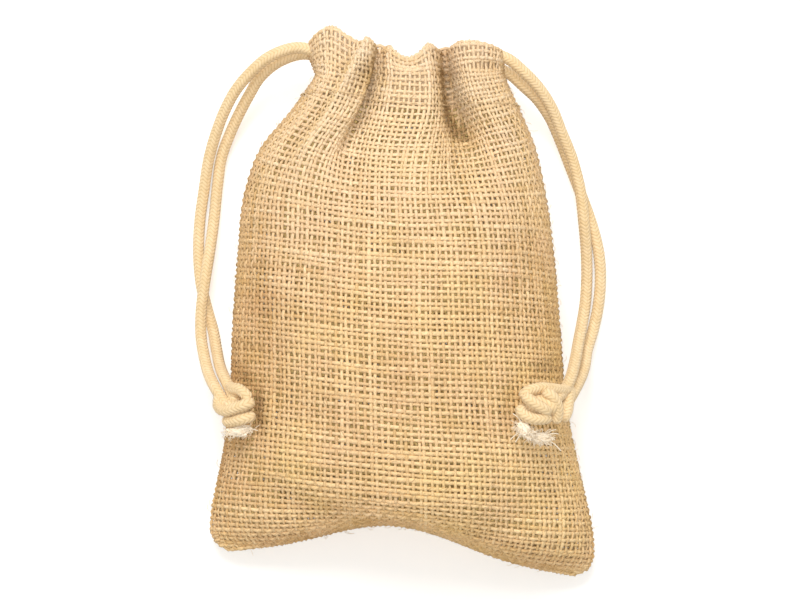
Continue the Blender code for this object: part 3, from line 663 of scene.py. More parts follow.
class Graph:
    """A node tree while it is drawn."""

    given: bpy.types.bpy_prop_collection
    made: bpy.types.Node

    def __init__(self, tree: Tree) -> None:
        """Start on a tree."""
        self.tree = tree

    @classmethod
    def group(cls, name: str, kind: str, inputs: dict[str, object], *results: str) -> "Graph":
        """Start a node group with named sockets.

        Args:
            name: the group's name.
            kind: "Geometry" or "Shader".
            inputs: each input's default, or its kind of socket where it has none.
            results: the outputs' names, for numbers in a shader group.

        Returns:
            The graph, with its input sockets as given and its end as made.
        """
        graph = cls(bpy.data.node_groups.new(name, f"{kind}NodeTree"))
        sockets = graph.tree.interface
        for label, default in inputs.items():
            sort = {float: "Float", int: "Int", str: default}[type(default)]
            socket = sockets.new_socket(label, in_out="INPUT", socket_type=f"NodeSocket{sort}")
            if not isinstance(default, str):
                socket.default_value = default
        sort = "Geometry" if kind == "Geometry" else "Float"
        for label in results:
            sockets.new_socket(label, in_out="OUTPUT", socket_type=f"NodeSocket{sort}")
        graph.given = graph.add("NodeGroupInput").outputs
        graph.made = graph.add("NodeGroupOutput")
        return graph

    def add(self, kind: str, inputs: dict | None = None, **settings: object) -> bpy.types.Node:
        """Make a node, set it and feed it.

        Args:
            kind: the node's type.
            inputs: what goes into its sockets, by identifier or name.
            settings: its own properties, set before it is fed.

        Returns:
            The node.
        """
        node = self.tree.nodes.new(kind)
        for name, value in settings.items():
            setattr(node, name, value)
        for name, value in (inputs or {}).items():
            self.feed(node, name, value)
        return node

    def first(self, kind: str, inputs: dict | None = None, **settings: object) -> Socket:
        """Make a node as add does, and give back its first output."""
        return self.add(kind, inputs, **settings).outputs[0]

    def feed(self, node: bpy.types.Node, name: str | int, value: object) -> None:
        """Join a socket to another, or set its value.

        Args:
            node: the node to feed.
            name: the socket's identifier, name or place.
            value: a socket to join, or a plain value.
        """
        named = [socket for socket in node.inputs if socket.identifier == name]
        target = named[0] if named else node.inputs[name]
        if isinstance(value, Socket):
            self.tree.links.new(value, target)
        else:
            target.default_value = value

    def maths(self, operation: str, *values: object) -> Socket:
        """A sum on numbers or sockets."""
        return self.first("ShaderNodeMath", dict(enumerate(values)), operation=operation)

    def times(self, *values: object) -> Socket:
        """The product of two numbers or sockets."""
        return self.maths("MULTIPLY", *values)

    def stretch(self, value: object, low: float, high: float) -> Socket:
        """Spread values between low and high over 0 to 1, and hold them there."""
        feeds = {"Value": value, "From Min": low, "From Max": high}
        return self.first("ShaderNodeMapRange", feeds, clamp=True)

    def blend(self, share: object, low: object, high: object, how: str = "MIX") -> Socket:
        """Mix two colours.

        Args:
            share: how much of the second, a number or socket.
            low: the first, a socket or a plain colour.
            high: the second.
            how: the blend type.

        Returns:
            The mixed colour's socket.
        """
        low, high = ((*c, 1.0) if isinstance(c, tuple) else c for c in (low, high))
        feeds = {"Factor_Float": share, "A_Color": low, "B_Color": high}
        node = self.add("ShaderNodeMix", feeds, data_type="RGBA", blend_type=how)
        return node.outputs[COLOUR_RESULT]

    def darken(self, base: Socket, light: Socket) -> Socket:
        """A colour times a number."""
        feeds = {"Red": light, "Green": light, "Blue": light}
        return self.blend(1.0, base, self.first("ShaderNodeCombineColor", feeds), "MULTIPLY")

    def read(self, name: str, kind: str = "FLOAT") -> Socket:
        """An attribute that the geometry carries."""
        return self.first("GeometryNodeInputNamedAttribute", {"Name": name}, data_type=kind)

    def mark(self, shape: Socket, name: str, value: Socket, domain: str = "POINT") -> Socket:
        """Geometry that carries a number under a name from here on."""
        feeds = {"Geometry": shape, "Name": name, "Value": value}
        return self.first(STORE_NODE, feeds, data_type="FLOAT", domain=domain)

    def end_with_tubes(self, tube: Tree, curves: Socket, sides: object, flatness: object) -> Tree:
        """End a tree with its curves turned into strands of its material.

        Args:
            tube: the tree that gives curves their thickness.
            curves: the curves.
            sides: faces round a strand.
            flatness: its thickness as a share of its width.

        Returns:
            The tree.
        """
        feeds = {"Curves": curves, "Sides": sides, "Flatness": flatness}
        strands = self.first("GeometryNodeGroup", feeds, node_tree=tube)
        real = self.first("GeometryNodeRealizeInstances", {"Geometry": strands})
        feeds = {"Geometry": real, "Material": self.given["Material"]}
        self.feed(self.made, "Geometry", self.first("GeometryNodeSetMaterial", feeds))
        return self.tree


def tube_tree() -> Tree:
    """Turn curves into round strands that carry how far round they go.

    Returns:
        The tree, for a node in other trees.
    """
    inputs = {"Curves": "Geometry", "Sides": THREAD_SIDES, "Flatness": ROUND}
    graph = Graph.group("strand_tube", "Geometry", inputs, "Geometry")
    sides = graph.given["Sides"]
    feeds = {"Resolution": sides, "Radius": 1.0}
    ring = graph.first("GeometryNodeCurvePrimitiveCircle", feeds, mode="RADIUS")
    around = graph.maths("DIVIDE", graph.first("GeometryNodeInputIndex"), sides)
    ring = graph.mark(ring, "around", around)
    size = {"X": graph.given["Flatness"], "Y": 1.0, "Z": 1.0}
    size = graph.first("ShaderNodeCombineXYZ", size)
    profile = graph.first("GeometryNodeTransform", {"Geometry": ring, "Scale": size})
    feeds = {
        "Curve": graph.given["Curves"],
        "Profile Curve": profile,
        "Scale": graph.read("thick"),
        "Fill Caps": True,
    }
    tube = graph.first("GeometryNodeCurveToMesh", feeds)
    smooth = graph.first("GeometryNodeSetShadeSmooth", {"Geometry": tube})
    graph.feed(graph.made, "Geometry", smooth)
    return graph.tree


def spinning_tree(tube: Tree) -> Tree:
    """Spin a strand along each path of a mesh, lying the way the path says.

    Args:
        tube: the tree that gives curves their thickness.

    Returns:
        The tree, for a modifier.
    """
    inputs = {
        "Paths": "Geometry",
        "Sides": THREAD_SIDES,
        "Flatness": ROUND,
        "Material": "Material",
    }
    graph = Graph.group("spun_strands", "Geometry", inputs, "Geometry")
    curves = graph.first("GeometryNodeMeshToCurve", {"Mesh": graph.given["Paths"]})
    feeds = {"Curve": curves, "Normal": graph.read("lie", "FLOAT_VECTOR")}
    laid = graph.first("GeometryNodeSetCurveNormal", feeds, mode="FREE")
    return graph.end_with_tubes(tube, laid, graph.given["Sides"], graph.given["Flatness"])


def hair_tree(tube: Tree) -> Tree:
    """Scatter fine bent hairs over a surface, lying along it.

    Args:
        tube: the tree that gives curves their thickness.

    Returns:
        The tree, for a modifier.
    """
    inputs = {
        "Surface": "Geometry",
        **dict.fromkeys(("Density", "Shortest", "Longest", "Thickness"), 0.0),
        "Seed": 0,
        "Material": "Material",
    }
    graph = Graph.group("stray_hairs", "Geometry", inputs, "Geometry")
    given, seed = graph.given, graph.given["Seed"]
    feeds = {"Mesh": given["Surface"], "Density": given["Density"], "Seed": seed}
    kind = "GeometryNodeDistributePointsOnFaces"
    roots = graph.add(kind, feeds, distribute_method="RANDOM").outputs
    hair = graph.first("GeometryNodeCurveQuadraticBezier", HAIR_BEND)
    far = graph.add("GeometryNodeSplineParameter").outputs["Factor"]
    lean = {
        "Max": (HAIR_TILT, HAIR_TILT, 2.0 * math.pi),
        "Min": (-HAIR_TILT, -HAIR_TILT, 0.0),
        "Seed": seed,
    }
    lean = graph.first("FunctionNodeRandomValue", lean, data_type="FLOAT_VECTOR")
    turn = graph.first("FunctionNodeEulerToRotation", {"Euler": lean})
    feeds = {"Rotation": roots["Rotation"], "Rotate By": turn}
    pose = graph.first("FunctionNodeRotateRotation", feeds, rotation_space="LOCAL")
    size = {
        "Min_001": given["Shortest"],
        "Max_001": given["Longest"],
        "Seed": graph.maths("ADD", seed, SIZE_SEED_STEP),
    }
    size = graph.add("FunctionNodeRandomValue", size, data_type="FLOAT").outputs[FLOAT_RESULT]
    feeds = {
        "Points": roots["Points"],
        "Instance": graph.mark(hair, "along", far),
        "Rotation": pose,
        "Scale": size,
    }
    hairs = graph.first("GeometryNodeInstanceOnPoints", feeds)
    hairs = graph.mark(hairs, "strand", graph.first("GeometryNodeInputIndex"), "INSTANCE")
    hairs = graph.mark(hairs, "thick", given["Thickness"], "INSTANCE")
    real = graph.first("GeometryNodeRealizeInstances", {"Geometry": hairs})
    return graph.end_with_tubes(tube, real, HAIR_SIDES, ROUND)


# ----------------------------------------------------------------- mesh helpers
MAP_EDGE_ROUND = 0.03       # margins of a strand's cell in the flat map, round and along
MAP_EDGE_ALONG = 0.01
WRAP_START = 0.01           # below this a corner stands at a strand's first side


def write_attribute(mesh: Mesh, name: str, values: Array) -> None:
    """Keep numbers or vectors on a mesh's points.

    Args:
        mesh: the mesh.
        name: the attribute's name.
        values: one number or vector for each point.
    """
    vector = values.ndim == 2
    layer = mesh.attributes.new(name, "FLOAT_VECTOR" if vector else "FLOAT", "POINT")
    layer.data.foreach_set("vector" if vector else "value", values.astype(np.float32).ravel())


def write_map(mesh: Mesh, name: str, values: Array) -> None:
    """Keep a map on a mesh's corners."""
    layer = mesh.uv_layers.new(name=name)
    layer.data.foreach_set("uv", values.astype(np.float32).ravel())


def read_all(items: object, name: str, kind: type = np.int32) -> Array:
    """One number of every item in a mesh's list.

    Args:
        items: the mesh's points, corners or faces, or what they carry.
        name: the number's name.
        kind: its kind.

    Returns:
        The numbers.
    """
    values = np.zeros(len(items), kind)
    items.foreach_get(name, values)
    return values


def read_attribute(mesh: Mesh, name: str) -> Array:
    """Read numbers kept on a mesh's points."""
    return read_all(mesh.attributes[name].data, "value", np.float32)


def new_object(name: str, data: bpy.types.ID) -> Piece:
    """Make an object in the scene's own collection.

    Args:
        name: its name.
        data: its mesh, camera or light.

    Returns:
        The object.
    """
    made = bpy.data.objects.new(name, data)
    bpy.context.scene.collection.objects.link(made)
    return made


def run_modifier(source: Mesh, tree: Tree, values: dict[str, object]) -> Mesh:
    """Run a tree on a mesh and give back the plain mesh it makes.

    Args:
        source: the mesh to start from, which is removed.
        tree: the Geometry Nodes tree.
        values: the tree's inputs, by socket name.

    Returns:
        A new mesh, with no modifier behind it.
    """
    carrier = new_object(source.name, source)
    modifier = carrier.modifiers.new(tree.name, "NODES")
    modifier.node_group = tree
    for item in tree.interface.items_tree:
        if item.in_out == "INPUT" and item.name in values:
            modifier[item.identifier] = values[item.name]
    graph = bpy.context.evaluated_depsgraph_get()
    made = bpy.data.meshes.new_from_object(carrier.evaluated_get(graph))
    bpy.data.objects.remove(carrier)
    bpy.data.meshes.remove(source)
    return made


def lay_out(mesh: Mesh, strands: int, length: float, girth: float) -> None:
    """Give spun strands a map round and along each one, and a flat map for baking.

    Args:
        mesh: a mesh with the attributes around, along and strand.
        strands: how many strands it holds.
        length: a usual strand's length.
        girth: the distance round it.
    """
    rows = max(1, round(math.sqrt(strands * girth / length)))
    columns = math.ceil(strands / rows)
    corner = read_all(mesh.loops, "vertex_index")
    starts = read_all(mesh.polygons, "loop_start")
    around = read_attribute(mesh, "around")[corner]
    along = read_attribute(mesh, "along")
    strand = np.rint(read_attribute(mesh, "strand")).astype(int)
    spread = np.maximum.reduceat(around, starts) - np.minimum.reduceat(around, starts)
    wraps = np.repeat(spread > 0.5, read_all(mesh.polygons, "loop_total"))
    around = np.where(wraps & (around < WRAP_START), 1.0, around)
    longest = np.zeros(strand.max() + 1)
    np.maximum.at(longest, strand, along)
    share = (along / np.maximum(longest[strand], TINY))[corner]
    write_map(mesh, "yarn", np.stack([around, along[corner]], axis=1))
    across = MAP_EDGE_ROUND + (1.0 - 2.0 * MAP_EDGE_ROUND) * around
    upward = MAP_EDGE_ALONG + (1.0 - 2.0 * MAP_EDGE_ALONG) * share
    u = (strand[corner] % columns + across) / columns
    v = (strand[corner] // columns + upward) / rows
    write_map(mesh, "OFBake", np.stack([u, v], axis=1))
    for name in ("around", "along", "strand", "thick", "lie"):
        if name in mesh.attributes:
            mesh.attributes.remove(mesh.attributes[name])


def as_piece(name: str, mesh: Mesh) -> Piece:
    """Make a mesh a piece of the sack, riding on its one body.

    Args:
        name: the piece's name.
        mesh: its finished mesh.

    Returns:
        The piece.
    """
    mesh.name = name
    piece = new_object(name, mesh)
    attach(piece, "root")
    LOG.info("%s: %d faces", name, len(mesh.polygons))
    return piece


@dataclass
class StrandBundle:
    """Paths of strands that are spun together into one piece.

    A strand has, at each point of its path: which way its flatter side faces, its radius,
    how pale it is, about 0 to 1, with a yarn's painted shade taken off, and how far its under
    side is shut inside the sack, 0 to 1, which is where the jute finish paints bounced light.
    """

    strands: list[tuple[Array, ...]] = field(default_factory=list)

    def add(
        self, points: Array, lies: Array, thick: Array, tones: Array, hidden: Array | None = None
    ) -> None:
        """Add a strand, in millimetres, that is hidden nowhere if nothing else is said."""
        hidden = np.zeros(len(points)) if hidden is None else hidden
        self.strands.append((points, lies, thick, tones, hidden))

    def spin(self, name: str, tree: Tree, material: Material, sides: int, flatness: float) -> Mesh:
        """Spin every strand into a tube.

        Args:
            name: the mesh's name.
            tree: the spinning tree.
            material: the strands' finish.
            sides: faces round a strand.
            flatness: its thickness as a share of its width.

        Returns:
            The plain mesh.
        """
        points, lies, thick, tones, hidden = (np.concatenate(rows) for rows in zip(*self.strands))
        counts = [len(strand[0]) for strand in self.strands]
        number = np.repeat(np.arange(len(counts)), counts)
        starts = np.flatnonzero(number[1:] == number[:-1])
        runs = [run_length(strand[0]) for strand in self.strands]
        paths = bpy.data.meshes.new(name)
        paths.vertices.add(len(points))
        paths.vertices.foreach_set("co", (points * MM).astype(np.float32).ravel())
        paths.edges.add(len(starts))
        edges = np.stack([starts, starts + 1], axis=1)
        paths.edges.foreach_set("vertices", edges.astype(np.int32).ravel())
        carried = {
            "lie": lies,
            "thick": thick * MM,
            "tone": tones,
            "hidden": hidden,
            "along": np.concatenate(runs) * MM,
            "strand": number,
        }
        for label, values in carried.items():
            write_attribute(paths, label, values)
        feeds = {"Sides": sides, "Flatness": flatness, "Material": material}
        made = run_modifier(paths, tree, feeds)
        usual = float(np.median([run[-1] for run in runs]))
        lay_out(made, len(counts), usual, 2.0 * math.pi * float(np.median(thick)))
        return made


# --------------------------------------------------------------------- finishes
FIBRE_SHIFT = 61.0          # how far apart in the noise two yarns' fibres start
COLUMN_STEP = 17.3          # these two give every plait a share that looks drawn by lot
SHUFFLE = 437.5
BLOTCH_RANGE = (0.3, 0.7)   # what of the blotches' noise is spread over 0 to 1
# The same for the fibres' noises, after each one's own settings.
FIBRE_NOISES = {
    "Streak": ({"Scale": 1.6, "Detail": 3.0, "Roughness": 0.62}, 0.28, 0.72),
    "Fleck": ({"Scale": 0.85, "Detail": 1.0}, 0.68, 0.76),
}


def fibre_group() -> Tree:
    """Shared effect: fine fibres twisted along a strand.

    Returns:
        The tree, with the fibres' light and their flecks.
    """
    inputs = dict.fromkeys(("Around", "Along", "Turns", "Fibres", "Stretch", "Shift"), 0.0)
    graph = Graph.group("twisted_fibres", "Shader", inputs, "Streak", "Fleck")
    given = graph.given
    twist = graph.times(given["Along"], given["Turns"])
    angle = graph.times(graph.maths("ADD", given["Around"], twist), 2.0 * math.pi)
    radius = graph.maths("DIVIDE", given["Fibres"], 2.0 * math.pi)
    far = graph.times(given["Along"], given["Stretch"])
    place = {
        "X": graph.times(graph.maths("COSINE", angle), radius),
        "Y": graph.times(graph.maths("SINE", angle), radius),
        "Z": graph.maths("ADD", far, graph.times(given["Shift"], FIBRE_SHIFT)),
    }
    place = graph.first("ShaderNodeCombineXYZ", place)
    for label, (look, low, high) in FIBRE_NOISES.items():
        noise = graph.first("ShaderNodeTexNoise", {"Vector": place, **look})
        graph.feed(graph.made, label, graph.stretch(noise, low, high))
    return graph.tree


def blotch_group() -> Tree:
    """Shared effect: slow changes of colour over the whole object.

    Returns:
        The tree, with how far a place is changed.
    """
    graph = Graph.group("slow_blotches", "Shader", {"Size": 1.0, "Detail": 1.0}, "Blotch")
    feeds = {
        "Vector": graph.add("ShaderNodeTexCoord").outputs["Object"],
        "Scale": graph.maths("DIVIDE", 1.0, graph.given["Size"]),
        "Detail": graph.given["Detail"],
    }
    noise = graph.first("ShaderNodeTexNoise", feeds)
    graph.feed(graph.made, "Blotch", graph.stretch(noise, *BLOTCH_RANGE))
    return graph.tree


def braid_group() -> Tree:
    """Shared effect: a braided cord's plaits, as plait_height has them.

    Returns:
        The tree, with the plaits' height and a shade for each.
    """
    inputs = {"Around": 0.0, "Along": 0.0}
    graph = Graph.group("braid_plaits", "Shader", inputs, "Height", "Strand")
    maths, times = graph.maths, graph.times
    column = times(graph.given["Around"], float(BRAID_COLUMNS))
    side = maths("SUBTRACT", maths("FRACT", column), 0.5)
    odd = maths("MODULO", maths("FLOOR", column), 2.0)
    lean = maths("SUBTRACT", times(odd, 2.0), 1.0)
    slant = times(times(side, lean), BRAID_SLOPE)
    rung = maths("ADD", maths("DIVIDE", graph.given["Along"], BRAID_PITCH * MM), slant)
    phase = maths("MULTIPLY_ADD", maths("FRACT", rung), 2.0, -1.0)
    round_top = maths("SUBTRACT", 1.0, times(phase, phase))
    edge = maths("POWER", maths("ABSOLUTE", times(side, 2.0)), BRAID_SEAM_POWER)
    seam = maths("SUBTRACT", 1.0, times(edge, BRAID_SEAM))
    height = times(maths("POWER", round_top, BRAID_ROUNDNESS), seam)
    strand = maths("ADD", maths("FLOOR", rung), times(maths("FLOOR", column), COLUMN_STEP))
    graph.feed(graph.made, "Height", height)
    graph.feed(graph.made, "Strand", maths("FRACT", times(maths("SINE", strand), SHUFFLE)))
    return graph.tree


@dataclass(frozen=True)
class EffectGroups:
    """The shader effects that the finishes share."""

    fibres: Tree
    blotches: Tree
    plaits: Tree


def shader_of(material: Material) -> bpy.types.Node:
    """A new material's own shader."""
    material.use_nodes = True
    return material.node_tree.nodes["Principled BSDF"]


@dataclass
class StrandGraph(Graph):
    """A strand finish's nodes while they are drawn, with what they all start from."""

    tree: Tree
    effects: EffectGroups
    twist: Triple
    place: dict[str, Socket] = field(init=False)

    def __post_init__(self) -> None:
        """Find how far round and along its strand a point lies, from the piece's own map."""
        uv = self.first("ShaderNodeUVMap", uv_map="yarn")
        parts = self.add("ShaderNodeSeparateXYZ", {"Vector": uv}).outputs
        self.place = {"Around": parts["X"], "Along": parts["Y"]}

    def carried(self, name: str) -> Socket:
        """A number that the mesh carries."""
        return self.add("ShaderNodeAttribute", attribute_name=name).outputs["Fac"]

    def effect(self, tree: Tree, feeds: dict[str, object]) -> bpy.types.bpy_prop_collection:
        """A shared effect's outputs."""
        return self.add("ShaderNodeGroup", feeds, node_tree=tree).outputs

    def fibres(self, shift: object) -> bpy.types.bpy_prop_collection:
        """The fibres' outputs, shifted along by a number or socket."""
        twist = dict(zip(("Turns", "Fibres", "Stretch"), self.twist))
        return self.effect(self.effects.fibres, {**self.place, **twist, "Shift": shift})

    def blotches(self, size: float, detail: float, share: float) -> Socket:
        """Blotches of a size in metres, up to a share."""
        feeds = {"Size": size, "Detail": detail}
        return self.times(self.effect(self.effects.blotches, feeds)[0], share)


@dataclass(frozen=True)
class StrandFinish:
    """What the finishes of yarns, cords and threads share."""

    name: str
    twist: Triple
    roughness: float
    specular: float
    bump: float
    bump_distance: float
    sheen: float = 0.0

    def build(self, effects: EffectGroups) -> Material:
        """Make the material.

        Args:
            effects: the shared shader effects.

        Returns:
            The material.
        """
        material = bpy.data.materials.new(self.name)
        surface = shader_of(material)
        graph = StrandGraph(material.node_tree, effects, self.twist)
        base, height = self.paint(graph)
        graph.feed(surface, "Base Color", base)
        feeds = {"Strength": self.bump, "Distance": self.bump_distance, "Height": height}
        graph.feed(surface, "Normal", graph.first("ShaderNodeBump", feeds))
        surface.inputs["Roughness"].default_value = self.roughness
        surface.inputs["Specular IOR Level"].default_value = self.specular
        surface.inputs["Sheen Weight"].default_value = self.sheen
        return material

    def paint(self, graph: StrandGraph) -> tuple[Socket, Socket]:
        """Draw the colour and the height of the relief."""
        raise NotImplementedError


@dataclass(frozen=True)
class JuteFinish(StrandFinish):
    """Spun jute: dull, streaky and hairy, as pale as its tone says, which carries painted shade.
    It also paints light: paler towards the mouth and on the yarns' sides inside the sack.

    Blotches have a size in metres, a detail and a share. A streak's light is what it adds
    and what is there without it.
    """

    name: str = "jute_yarn"
    twist: Triple = (190.0, 7.0, 420.0)
    roughness: float = 0.93
    specular: float = 0.08
    bump: float = 0.75
    bump_distance: float = 0.00016
    deep: Colour = (0.54, 0.318, 0.126)
    pale: Colour = (0.90, 0.682, 0.412)
    rosy: Colour = (0.80, 0.548, 0.352)
    golden: Colour = (0.90, 0.668, 0.312)
    # Painted bounced light on the yarns' sides inside the sack.
    painted_bounce_light: Colour = (0.90, 0.68, 0.27)
    # Painted light: the face paler towards the mouth.
    painted_top_light: Colour = (0.86, 0.70, 0.54)
    # Dark flecks, and also the painted shade deep in the pockets.
    fleck_and_shade: Colour = (0.24, 0.135, 0.06)
    golden_blotches: Triple = (0.045, 1.5, 0.55)
    rosy_blotches: Triple = (0.009, 2.0, 0.35)
    # How the painted light towards the mouth runs up the face, by the yarn's tone, and its share.
    painted_top_run: Pair = (0.0, 0.085)
    painted_top_tones: Pair = (-0.35, 0.75)
    painted_top_share: float = 0.58
    # Which side of a yarn takes the painted bounced light.
    painted_bounce_run: Pair = (0.2, -0.6)
    streak_light: Pair = (0.5, 0.72)
    fleck_share: float = 0.5
    # Painted shade: where the tone below nought blends on into the flecks' colour.
    painted_shade_run: Pair = (0.0, -0.9)

    def paint(self, graph: StrandGraph) -> tuple[Socket, Socket]:
        """Draw the colour.

        Args:
            graph: the material's nodes.

        Returns:
            The colour and the height of the relief.
        """
        tone = graph.carried("tone")
        fibres = graph.fibres(tone)
        # The tone is the yarn's own paleness less the cloth's painted shade.
        base = graph.blend(tone, self.deep, self.pale)
        base = graph.blend(graph.blotches(*self.golden_blotches), base, self.golden)
        base = graph.blend(graph.blotches(*self.rosy_blotches), base, self.rosy)
        # Painted light: the face paler towards the mouth, less so on darker yarns.
        place = graph.add("ShaderNodeTexCoord").outputs["Object"]
        upward = graph.add("ShaderNodeSeparateXYZ", {"Vector": place}).outputs["Y"]
        by_tone = graph.stretch(tone, *self.painted_top_tones)
        top_light_share = graph.times(graph.stretch(upward, *self.painted_top_run), by_tone)
        base = graph.blend(graph.times(top_light_share, self.painted_top_share), base, self.painted_top_light)
        # Painted bounced light on the yarns' sides that face into the sack.
        outward = graph.maths("COSINE", graph.times(graph.place["Around"], 2.0 * math.pi))
        inward = graph.times(graph.stretch(outward, *self.painted_bounce_run), graph.carried("hidden"))
        base = graph.blend(inward, base, self.painted_bounce_light)
        light = graph.maths("MULTIPLY_ADD", fibres["Streak"], *self.streak_light)
        base = graph.darken(base, light)
        base = graph.blend(graph.times(fibres["Fleck"], self.fleck_share), base, self.fleck_and_shade)
        # Painted shade: below nought the tone blends on into the flecks' dark colour.
        base = graph.blend(graph.stretch(tone, *self.painted_shade_run), base, self.fleck_and_shade)
        return base, fibres["Streak"]


@dataclass(frozen=True)
class BraidFinish(StrandFinish):
    """Braided unbleached cotton: cream plaits, with painted shade down between them."""

    name: str = "braided_cotton"
    twist: Triple = (60.0, 60.0, 500.0)
    roughness: float = 0.82
    specular: float = 0.25
    bump: float = 0.6
    bump_distance: float = 0.0002
    sheen: float = 0.15
    cream: Colour = (0.74, 0.545, 0.30)
    pale: Colour = (0.84, 0.655, 0.415)
    # Painted shade down between the plaits.
    painted_gap_shade: Colour = (0.52, 0.34, 0.13)
    shift: float = 0.3
    blotched: Triple = (0.02, 2.0, 0.5)
    strand_share: float = 0.5
    # How high up the plaits the painted shade reaches, and how strong it is.
    gap_height: float = 0.8
    painted_gap_share: float = 0.6
    streak_light: Pair = (0.16, 0.9)
    streak_relief: float = 0.25

    def paint(self, graph: StrandGraph) -> tuple[Socket, Socket]:
        """Draw the colour.

        Args:
            graph: the material's nodes.

        Returns:
            The colour and the height of the relief.
        """
        plaits = graph.effect(graph.effects.plaits, graph.place)
        streak = graph.fibres(self.shift)["Streak"]
        blotches = graph.blotches(*self.blotched)
        share = graph.maths("MULTIPLY_ADD", plaits["Strand"], self.strand_share, blotches)
        base = graph.blend(share, self.cream, self.pale)
        # Painted shade down between the plaits.
        risen = graph.stretch(plaits["Height"], 0.0, self.gap_height)
        sunk = graph.maths("SUBTRACT", 1.0, risen)
        base = graph.blend(graph.times(sunk, self.painted_gap_share), base, self.painted_gap_shade)
        base = graph.darken(base, graph.maths("MULTIPLY_ADD", streak, *self.streak_light))
        relief = graph.maths("MULTIPLY_ADD", streak, self.streak_relief, plaits["Height"])
        return base, relief


@dataclass(frozen=True)
class FrayFinish(StrandFinish):
    """Loose cotton fibres at a cut end, or the thread of a seam."""

    name: str = "loose_cotton"
    twist: Triple = (300.0, 5.0, 500.0)
    roughness: float = 0.9
    specular: float = 0.2
    bump: float = 0.4
    bump_distance: float = 0.0001
    shade: Colour = (0.76, 0.61, 0.42)
    white: Colour = (0.93, 0.85, 0.72)
    streak_share: float = 0.4
    tone_share: float = 0.6

    def paint(self, graph: StrandGraph) -> tuple[Socket, Socket]:
        """Draw the colour.

        Args:
            graph: the material's nodes.

        Returns:
            The colour and the height of the relief.
        """
        tone = graph.carried("tone")
        streak = graph.fibres(tone)["Streak"]
        by_tone = graph.times(tone, self.tone_share)
        mixed = graph.maths("MULTIPLY_ADD", streak, self.streak_share, by_tone)
        return graph.blend(mixed, self.shade, self.white), streak


@dataclass(frozen=True)
class FloorFinish:
    """A plain pale floor."""

    name: str = "pale_floor"
    colour: Colour = (0.97, 0.97, 0.965)
    roughness: float = 0.85

    def build(self) -> Material:
        """Make the material.

        Returns:
            The material.
        """
        material = bpy.data.materials.new(self.name)
        surface = shader_of(material)
        surface.inputs["Base Color"].default_value = (*self.colour, 1.0)
        surface.inputs["Roughness"].default_value = self.roughness
        return material


@dataclass(frozen=True)
class Workshop:
    """The trees and finishes that every sub-assembly takes what it needs from."""

    spinning: Tree
    hairs: Tree
    jute: Material
    braid: Material
    loose: Material
    thread: Material

    @staticmethod
    def fit_out() -> "Workshop":
        """Build every shared tree and finish once.

        Returns:
            The workshop.
        """
        effects = EffectGroups(fibre_group(), blotch_group(), braid_group())
        tube = tube_tree()
        thread = FrayFinish("seam_thread", shade=(0.55, 0.38, 0.20), white=(0.70, 0.52, 0.30))
        finishes = (JuteFinish(), BraidFinish(), FrayFinish(), thread)
        made = (finish.build(effects) for finish in finishes)
        return Workshop(spinning_tree(tube), hair_tree(tube), *made)


# ------------------------------------------------------------------- the studio
@dataclass
class Studio:
    """Floor, soft lights and the camera that looks straight down on the face."""

    centre: Pair = (-0.65, 6.46)
    plane_height: float = 15.0
    millimetres_per_pixel: float = 0.323
    pixels_across: int = 800
    camera_height: float = 1.25
    sensor: float = 36.0
    floor_size: float = 6.0
    floor_height: float = -0.0002
    room_light: float = 0.46
    lens_lamp: tuple[float, float, Colour] = (0.03, 8.6, (1.0, 0.98, 0.94))
    key: tuple[Triple, float, float, Colour] = ((-0.12, 0.82, 0.95), 0.6, 9.2, (1.0, 0.98, 0.95))

    def lens_place(self) -> Triple:
        """Where the camera stands, in metres."""
        return (self.centre[0] * MM, self.centre[1] * MM, self.camera_height)

    def place_camera(self) -> None:
        """Set the camera so that the outline's plane fills the photograph's frame."""
        data = bpy.data.cameras.new("camera")
        data.sensor_width = self.sensor
        across = self.millimetres_per_pixel * self.pixels_across * MM
        data.lens = self.sensor * (self.camera_height - self.plane_height * MM) / across
        data.clip_start, data.clip_end = 0.05, 10.0
        camera = new_object("camera", data)
        camera.location = self.lens_place()
        bpy.context.scene.camera = camera

    def lay_floor(self) -> None:
        """Lay the floor just under the sack."""
        half = self.floor_size / 2.0
        turns = ((-half, -half), (half, -half), (half, half), (-half, half))
        mesh = bpy.data.meshes.new("floor")
        mesh.from_pydata([(*turn, self.floor_height) for turn in turns], [], [(0, 1, 2, 3)])
        mesh.materials.append(FloorFinish().build())
        new_object("floor", mesh)

    @staticmethod
    def hang_light(name: str, place: Triple, size: float, power: float, tint: Colour) -> None:
        """Hang a square soft light that faces the sack.

        Args:
            name: the light's name.
            place: where it hangs, in metres.
            size: its side.
            power: its power in watts.
            tint: its colour.
        """
        data = bpy.data.lights.new(name, "AREA")
        data.shape, data.size, data.energy, data.color = "SQUARE", size, power, tint
        light = new_object(name, data)
        light.location = place
        light.rotation_mode = "QUATERNION"
        light.rotation_quaternion = (-Vector(place)).to_track_quat("-Z", "Y")

    def light_up(self) -> None:
        """A lamp round the lens, soft light from beyond the mouth and a bright room."""
        world = bpy.data.worlds.new("studio")
        world.use_nodes = True
        sky = world.node_tree.nodes["Background"]
        sky.inputs["Color"].default_value = (1.0, 1.0, 1.0, 1.0)
        sky.inputs["Strength"].default_value = self.room_light
        bpy.context.scene.world = world
        self.hang_light("lens_lamp", self.lens_place(), *self.lens_lamp)
        self.hang_light("key", *self.key)
        bpy.context.scene.view_settings.view_transform = "Standard"

    def build(self) -> None:
        """Set up the whole studio."""
        self.place_camera()
        self.lay_floor()
        self.light_up()


# ------------------------------------------------------------------ drawstrings
STRIP_EDGE = 0.02           # margin at each side of a cord's strip in the flat map
FIRST_SIDE = (0.3, 0.5, 0.81)       # a way that no cord starts in
FIBRE_SIDE = (0.2, 0.3, 0.93)       # and one that a loose fibre's flatter side is set by


